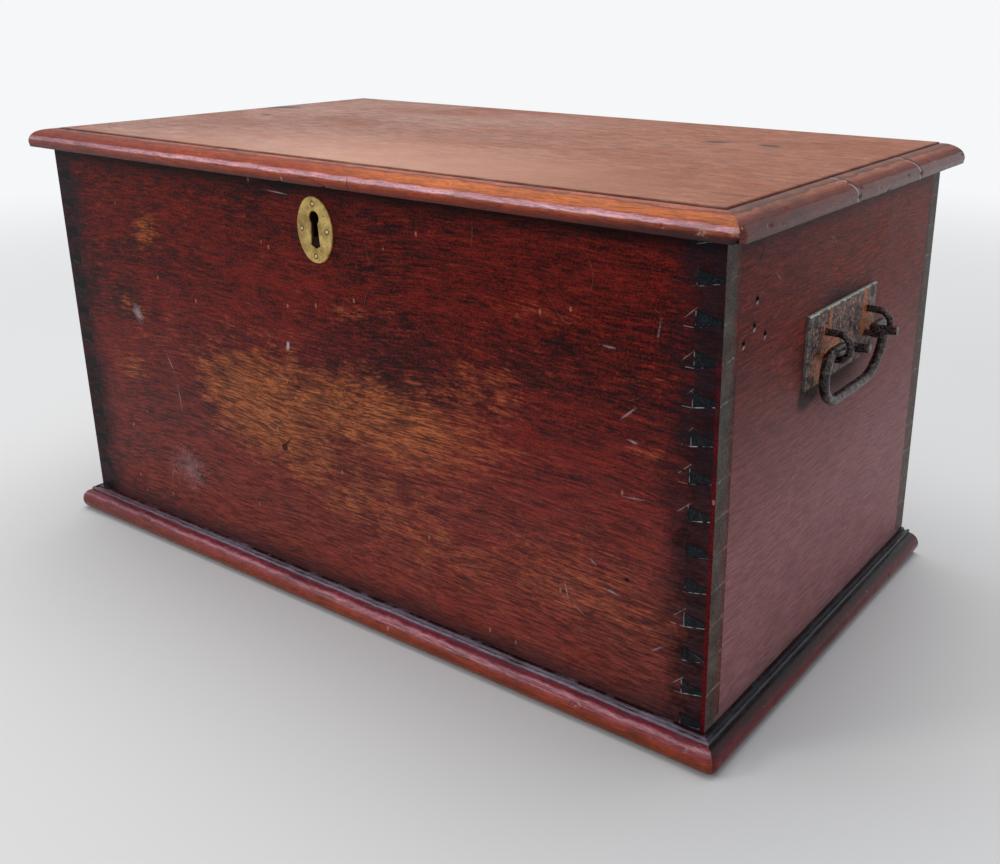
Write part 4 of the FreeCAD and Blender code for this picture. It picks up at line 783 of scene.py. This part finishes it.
for name, side, wood in (("front", 0, base_front_wood), ("left", -1, base_side_wood),
                         ("right", 1, base_side_wood)):
    points = moulding(BASE_SECTION, BASE_WEAR, side, MIDDLE_Y + HALF_DEPTH)
    settle("base_moulding_%s_worn" % name, points, "carcase", wood,
           "base_moulding_" + name)
dress(nail_iron, "base_moulding_nails")


# ---- Lid board ----
# One wide board of paler, sun-faded mahogany, its grain along the front, ringed by old stains.

LID_BASE, LID_TOP, LID_HALF, LID_FRONT = 0.3586, 0.3746, 0.3378, -0.1783
# Old rings and spots: places and reaches along X and Y, turn and share
LID_STAINS = ((-0.326, 0.0685, 0.034, 0.018, 40, 1.2), (-0.278, 0.0075, 0.014, 0.012, 0, 0.8),
              (0.189, 0.0875, 0.02, 0.012, 10, 1.1), (0.235, 0.0905, 0.02, 0.011, -15, 1.1),
              (-0.21, -0.085, 0.016, 0.007, 10, 0.7), (0.06, 0.02, 0.012, 0.006, 5, 0.6))


def lid_finish():
    """Faded and waxed on top, greyer at the left, bare underneath."""
    material, skin, where, grain, marks = new_wood("lid_wood", 0.5, 0.05, 0, 0.3, 2.0)
    x, y, z = split(where)
    tone = between(0.5 * grain["Fine"] + 0.5 * grain["Mottle"], 0.42, 0.58, "LINEAR")
    faded = tint(tone, (116, 78, 68), (166, 128, 114))
    brown = tint(tone, (106, 60, 44), (164, 106, 80))
    body = tint(between(0.5 * grain["Cloud"] + x, 0.0, 0.48), faded, brown)
    pale = oval(where, (0.02, -0.17, LID_TOP), (0.34, 0.15, 0.05), 0, 2)
    body = coats(body, (0.5 * between(grain["Cloud"], 0.46, 0.64), (132, 72, 48)),
                 (0.3 * between(marks["Blotch"], 0.5, 0.7), (96, 52, 38)),
                 (0.35 * grain["Pores"], (70, 34, 22)), (0.6 * pale, (206, 160, 140)))
    stains = most(*(oval(where, (left, deep, LID_TOP), (length, width, 0.05), lean, 2) * share
                    for left, deep, length, width, lean, share in LID_STAINS))
    stained = between(0.4 * marks["Grime"] + stains, 0.5, 0.95)
    edge = most(between(abs(x), LID_HALF - 0.0043, LID_HALF),
                between(y, LID_FRONT + 0.0043, LID_FRONT))
    raw = bare_wood(grain, (98, 64, 44), (150, 106, 76), (58, 34, 24))
    body = coats(body, (0.85 * stained, (54, 34, 30)), (0.35 * marks["Scratches"], (196, 160, 140)),
                 (0.3 * marks["Specks"], (206, 176, 158)),
                 (1.4 * edge * marks["Grime"], (74, 34, 26)),
                 (between(z, LID_BASE + 0.0008, LID_BASE + 0.0004), raw))
    feed(skin, "Base Color", body)
    feed(skin, "Roughness", 0.3 * marks["Blotch"] + 0.2 * marks["Grime"] + 0.24)
    relief(skin, grain["Height"], 0.0002, 0.6)
    return material


dress(lid_finish(), "lid_board")


# ---- Lid moulding ----
# Three lengths nailed round the front and sides of the lid board: a narrow groove beside it, a slow
# crown and a tight nose. Shrinkage has cracked the side lengths across their grain.

CROWN = 0.0237
LID_SECTION = np.concatenate([
    run((-0.0052, 0), (0.0162, 0), 12)[:-1],
    run((0.0162, 0), (0.017, 0.004), 4)[:-1], arc((0.0085, 0.004), 0.0085, 0, 56, 15),
    arc((0, 0.0151 - CROWN), CROWN, 56, 90, 19)[1:], run((0, 0.0151), (-0.004, 0.0151), 6)[1:],
    run((-0.004, 0.0151), (-0.004, 0.0142), 3)[1:], run((-0.004, 0.0142), (-0.0052, 0.0142), 3)[1:],
    run((-0.0052, 0.0142), (-0.0052, 0), 8)[1:-1]]) + np.array([0, LID_BASE])
LID_WEAR = (21, (0.00005, 0.03), (0.0001, 0.18), 0.013, 0.006)
LID_CREST, LID_BACK = LID_BASE + 0.0151, MIDDLE_Y + HALF_DEPTH + 0.007
# Tones up the lid front's height, with a painted highlight along the nose from 0.49 to 0.62
LID_FRONT_TONES_AND_HIGHLIGHT = ((0.0, 92, 38, 26), (0.16, 132, 46, 24), (0.36, 172, 70, 30), (0.43, 168, 70, 48),
                   (0.49, 234, 180, 190), (0.62, 222, 150, 156), (0.69, 152, 58, 26),
                   (0.8, 154, 58, 18), (0.92, 164, 68, 26), (0.97, 120, 50, 30),
                   (1.0, 176, 100, 76))
LID_SIDE_TONES = ((0.0, 80, 36, 26), (0.15, 116, 56, 40), (0.4, 106, 44, 36), (0.6, 98, 36, 28),
                  (0.8, 108, 44, 30), (0.94, 154, 88, 64), (0.97, 80, 42, 32), (1.0, 116, 66, 50))
LID_RUBS = ((0.335, -0.203, 0.366, 0.01), (0.356, -0.199, 0.368, 0.008), (0.05, -0.2, 0.366, 0.005))
FRONT_CRACKS = ((0.05, 0.0006, 0.001),)
LEFT_CRACKS = ((0.06, 0.0005, 0.0012),)
RIGHT_CRACKS = ((0.093, 0.0006, 0.0016), (-0.03, 0.0006, 0.0014), (-0.15, 0.0003, 0.0005))
for name, side, cracks in (("front", 0, FRONT_CRACKS), ("left", -1, LEFT_CRACKS),
                           ("right", 1, RIGHT_CRACKS)):
    if side == 0:
        wood = moulding_finish("lid_front_wood", 0, LID_BASE, LID_CREST, LID_FRONT_TONES_AND_HIGHLIGHT, 9.0, 0.64,
                               rubs=LID_RUBS, amber=0.9)
    else:
        wide_cracks = [place for place, width, _ in cracks if width > 0.0004]
        wood = moulding_finish("lid_%s_wood" % name, 90, LID_BASE, LID_CREST, LID_SIDE_TONES, 10.0,
                               0.64, wide_cracks, 0.22)
    points = moulding(LID_SECTION, LID_WEAR, side, LID_BACK, cracks)
    settle("lid_moulding_%s_worn" % name, points, "lid", wood,
           "lid_moulding_" + name)
dress(nail_iron, "lid_moulding_nails")


# ---- Hinges ----
# Two iron butt hinges let into the back wall's edge and the lid, with countersunk screws.

hinge_iron = iron_finish("hinge_iron", (44, 36, 33), (96, 86, 80), (112, 62, 34), 0.5, 0.5)
dress(hinge_iron, "hinge")


# ---- Lock ----
# A link-plate lock let into the front board's inner face: iron plates, a case and a sliding bolt.

lock_iron = iron_finish("lock_iron", (52, 46, 44), (120, 112, 104), (116, 70, 42), 0.35, 0.45, 0.5)
dress(lock_iron, "lock")


# ---- Escutcheon ----
# An oval of sheet brass with a filed bevel and keyhole, held by four brass pins, now rubbed and
# spotted.

def brass_finish(name, low, high, rings=()):
    """Yellow brass under thin brown tarnish: brighter where it is rubbed, with small dark spots.

    Rings are the places of pins, round which the tarnish is black.
    """
    material, skin, where = new_finish(name, 0.36, 0.5)
    feed(skin, "Metallic", 0.6)
    fine = noise(where, 900.0, 5.0, 0.7)
    broad = noise(where, 90.0, 5.0, 0.6)
    spots = put("TexVoronoi", {"Vector": where, "Scale": 230.0})
    body = coats(tint(between(broad, 0.38, 0.62, "LINEAR"), low, high),
                 (0.7 * between(fine, 0.52, 0.66), (118, 84, 38)),
                 (between(spots, 0.2, 0.08) * between(broad, 0.48, 0.56), (46, 30, 18)))
    if rings:
        ring = patchwork(where, [(x, z, 0.003, 0.003, 0, 1.0) for x, z in rings], 1)
        body = tint(between(0.3 * fine + ring, 0.25, 0.5), body, (58, 40, 20))
    feed(skin, "Base Color", body)
    feed(skin, "Roughness", 0.3 * fine + 0.22)
    relief(skin, fine, 0.0002, 0.5)
    return material


PIN_PLACES = [(-0.003, 0.302), (-0.003, 0.342), (-0.0165, 0.322), (0.0105, 0.322)]
old_brass = brass_finish("old_brass", (140, 112, 58), (200, 170, 98), PIN_PLACES)
pin_brass = brass_finish("pin_brass", (206, 176, 116), (240, 214, 152))
dress(old_brass, "escutcheon")
dress(pin_brass, "escutcheon_pins")


# ---- Handles ----
# Wrought iron: a bevelled plate held by four screws, two staples driven through it, and a bail
# whose ends turn out inside the staples. Hammered, pitted and rusted orange about the staples.

PLATE_LOW, PLATE_HIGH = (-0.0625, 0.23), (0.0605, 0.284)


def plate_finish():
    """Brown-black iron with purple-grey specks, pale rubbed bevels and runs of orange rust.

    A bevel is within 1 mm of the plate's edge, rubbed pale, and the top one whiter by a painted
    highlight; the runs of rust are ovals by the staples' legs.
    """
    rust = ((-0.0275, 0.274, 0.004, 0.022, 0, 0.65), (-0.0345, 0.252, 0.009, 0.028, 0, 0.6),
            (0.037, 0.272, 0.005, 0.026, 0, 0.7), (0.043, 0.258, 0.014, 0.016, 0, 0.5),
            (-0.019, 0.25, 0.016, 0.016, 0, 0.55), (-0.046, 0.24, 0.016, 0.018, 0, 0.35))
    material = iron_finish("plate_iron", (12, 7, 7), (164, 128, 118), (190, 106, 50), 0.78, 0.5,
                           spots=rust)
    skin = material.node_tree.nodes["Principled BSDF"]
    under = Value(skin.inputs["Base Color"].links[0].from_socket)
    where = put("TexCoord", tree=material.node_tree, out="Object")
    _, y, z = split(where)
    shaky = noise(where, 320.0, 4.0)
    edges = [y - PLATE_LOW[0], PLATE_HIGH[0] - y, PLATE_HIGH[1] - z]
    nearest = maths("MINIMUM", edges[0], maths("MINIMUM", edges[1], edges[2]))
    bevel = between(0.004 * shaky + nearest, 0.003, 0.0022)
    # Rubbed bevels, the top one painted whiter as a highlight
    top_highlight = between(edges[2] - nearest, 0.0003, 0.0)
    rubbed = tint(top_highlight, (112, 126, 126), (198, 206, 200))
    feed(skin, "Base Color", tint(bevel * (0.45 * top_highlight + 0.45), under, rubbed))
    return material


dress(plate_finish(), "handle_plate")
dress(nail_iron, "handle_screws")
rod_iron = iron_finish("rod_iron", (20, 13, 13), (102, 84, 84), (140, 82, 54), 0.56, 0.26, 1.8)


def tube(path, first, second, radius, around=28):
    """Rings about a path: at each point, the first direction by the cosine plus the second by the
    sine, times a radius that two waves, of a hammer's blows and of pits, make a little smaller."""
    turn = np.linspace(0, 2 * np.pi, around, endpoint=False)[None, :, None]
    spokes = np.cos(turn) * first[:, None] + np.sin(turn) * second[:, None]
    shape = np.moveaxis(path[:, None] + spokes * 0.001, -1, 0)
    worn = (radius[:, None] - 0.00016 * (1 + waves(31, *shape, size=0.009))
            - 0.00005 * (1 + waves(32, *shape, size=0.0022, count=20)))
    return path[:, None] + spokes * worn[..., None]


def leaned(vectors, degrees):
    """Vectors turned about Y."""
    angle = math.radians(degrees)
    x = vectors[..., 0] * math.cos(angle) + vectors[..., 2] * math.sin(angle)
    z = -vectors[..., 0] * math.sin(angle) + vectors[..., 2] * math.cos(angle)
    return np.stack([x, vectors[..., 1], z], -1)


# Places of the staples and the bail's axis, and the bail's lean and its ends' lift, in degrees
WALL, STAPLE_Z, STAPLE_SPREAD, STAPLE_BOW, STAPLE_ROD = 0.343, 0.2575, 0.0385, 0.0095, 0.0028
PIVOT, PIVOT_Z, BAIL_ROD, TIP_ROD, HANG, LIFT = 0.012, 0.2551, 0.004, 0.0033, 4.3, 9.0


def unit(vectors):
    """Vectors made one long."""
    return vectors / np.linalg.norm(vectors, axis=1)[:, None]


def staple_rings(side, y):
    """Two straight legs and a half circle between them, one leg above the other."""
    line = np.concatenate([run((0.0, STAPLE_BOW), (PIVOT, STAPLE_BOW), 13)[:-1],
                           arc((PIVOT, 0.0), STAPLE_BOW, 90, -90, 37),
                           run((PIVOT, -STAPLE_BOW), (0.0, -STAPLE_BOW), 13)[1:]])
    path = np.stack([side * (WALL + line[:, 0]), np.full(len(line), y), STAPLE_Z + line[:, 1]], 1)
    ahead = unit(np.gradient(path, axis=0))
    across = np.tile([0.0, 1.0, 0.0], (len(path), 1))
    return tube(path, across, np.cross(ahead, across), np.full(len(path), STAPLE_ROD))


def bail_rings(side):
    """Half of the rod is a run, two arcs and a run in the plane of Y and Z, then an arc and a run
    out from it, which taper. The other half is its mirror image, and all leans towards the wall."""
    bow = np.concatenate([run((0.0, -0.0405), (0.026, -0.0405), 27)[:-1],
                          arc((0.026, -0.011), 0.0295, -90, 0, 47)[:-1],
                          arc((0.0445, -0.011), 0.011, 0, 90, 21)[:-1],
                          run((0.0445, 0.0), (0.033, 0.0), 13)])
    end = np.concatenate([arc((0.006, 0.033), 0.006, 180, 270, 13)[1:],
                          run((0.006, 0.027), (0.0192, 0.027), 15)[1:], [(0.0195, 0.027)]])
    flat = np.stack([np.zeros(len(bow)), bow[:, 0], bow[:, 1]], 1)
    tip = leaned(np.stack([side * end[:, 0], end[:, 1], np.zeros(len(end))], 1), -side * LIFT)
    path = np.concatenate([flat, tip])
    ahead = unit(np.gradient(path, axis=0))
    # From the 72nd ring on, the first direction turns from X to Z within 20 rings
    share = np.clip((np.arange(len(path)) - 72) / 20, 0, 1) * np.pi / 2
    guide = np.stack([np.cos(share), 0 * share, np.sin(share)], 1)
    first = unit(guide - (guide * ahead).sum(1)[:, None] * ahead)
    taper = np.clip((np.arange(len(path)) - len(bow)) / len(end), 0, 1)
    radius = BAIL_ROD + (TIP_ROD - BAIL_ROD) * taper
    radius[-1] -= 0.0006  # filed at the very end
    half = tube(path, first, np.cross(ahead, first), radius)
    rings = np.concatenate([half[:0:-1] * [1, -1, 1], half])
    return leaned(rings, side * HANG) + [side * (WALL + PIVOT), MIDDLE_Y, PIVOT_Z]


for name, side in (("left", -1), ("right", 1)):
    for end, way in (("front", -1), ("rear", 1)):
        rings = staple_rings(side, MIDDLE_Y + way * STAPLE_SPREAD)
        settle("wrought_staple_%s_%s" % (name, end), rings, "carcase", rod_iron,
               "handle_staple_%s_%s" % (name, end))
    settle("wrought_bail_" + name, bail_rings(side), name + "_bail", rod_iron,
           "handle_bail_" + name)
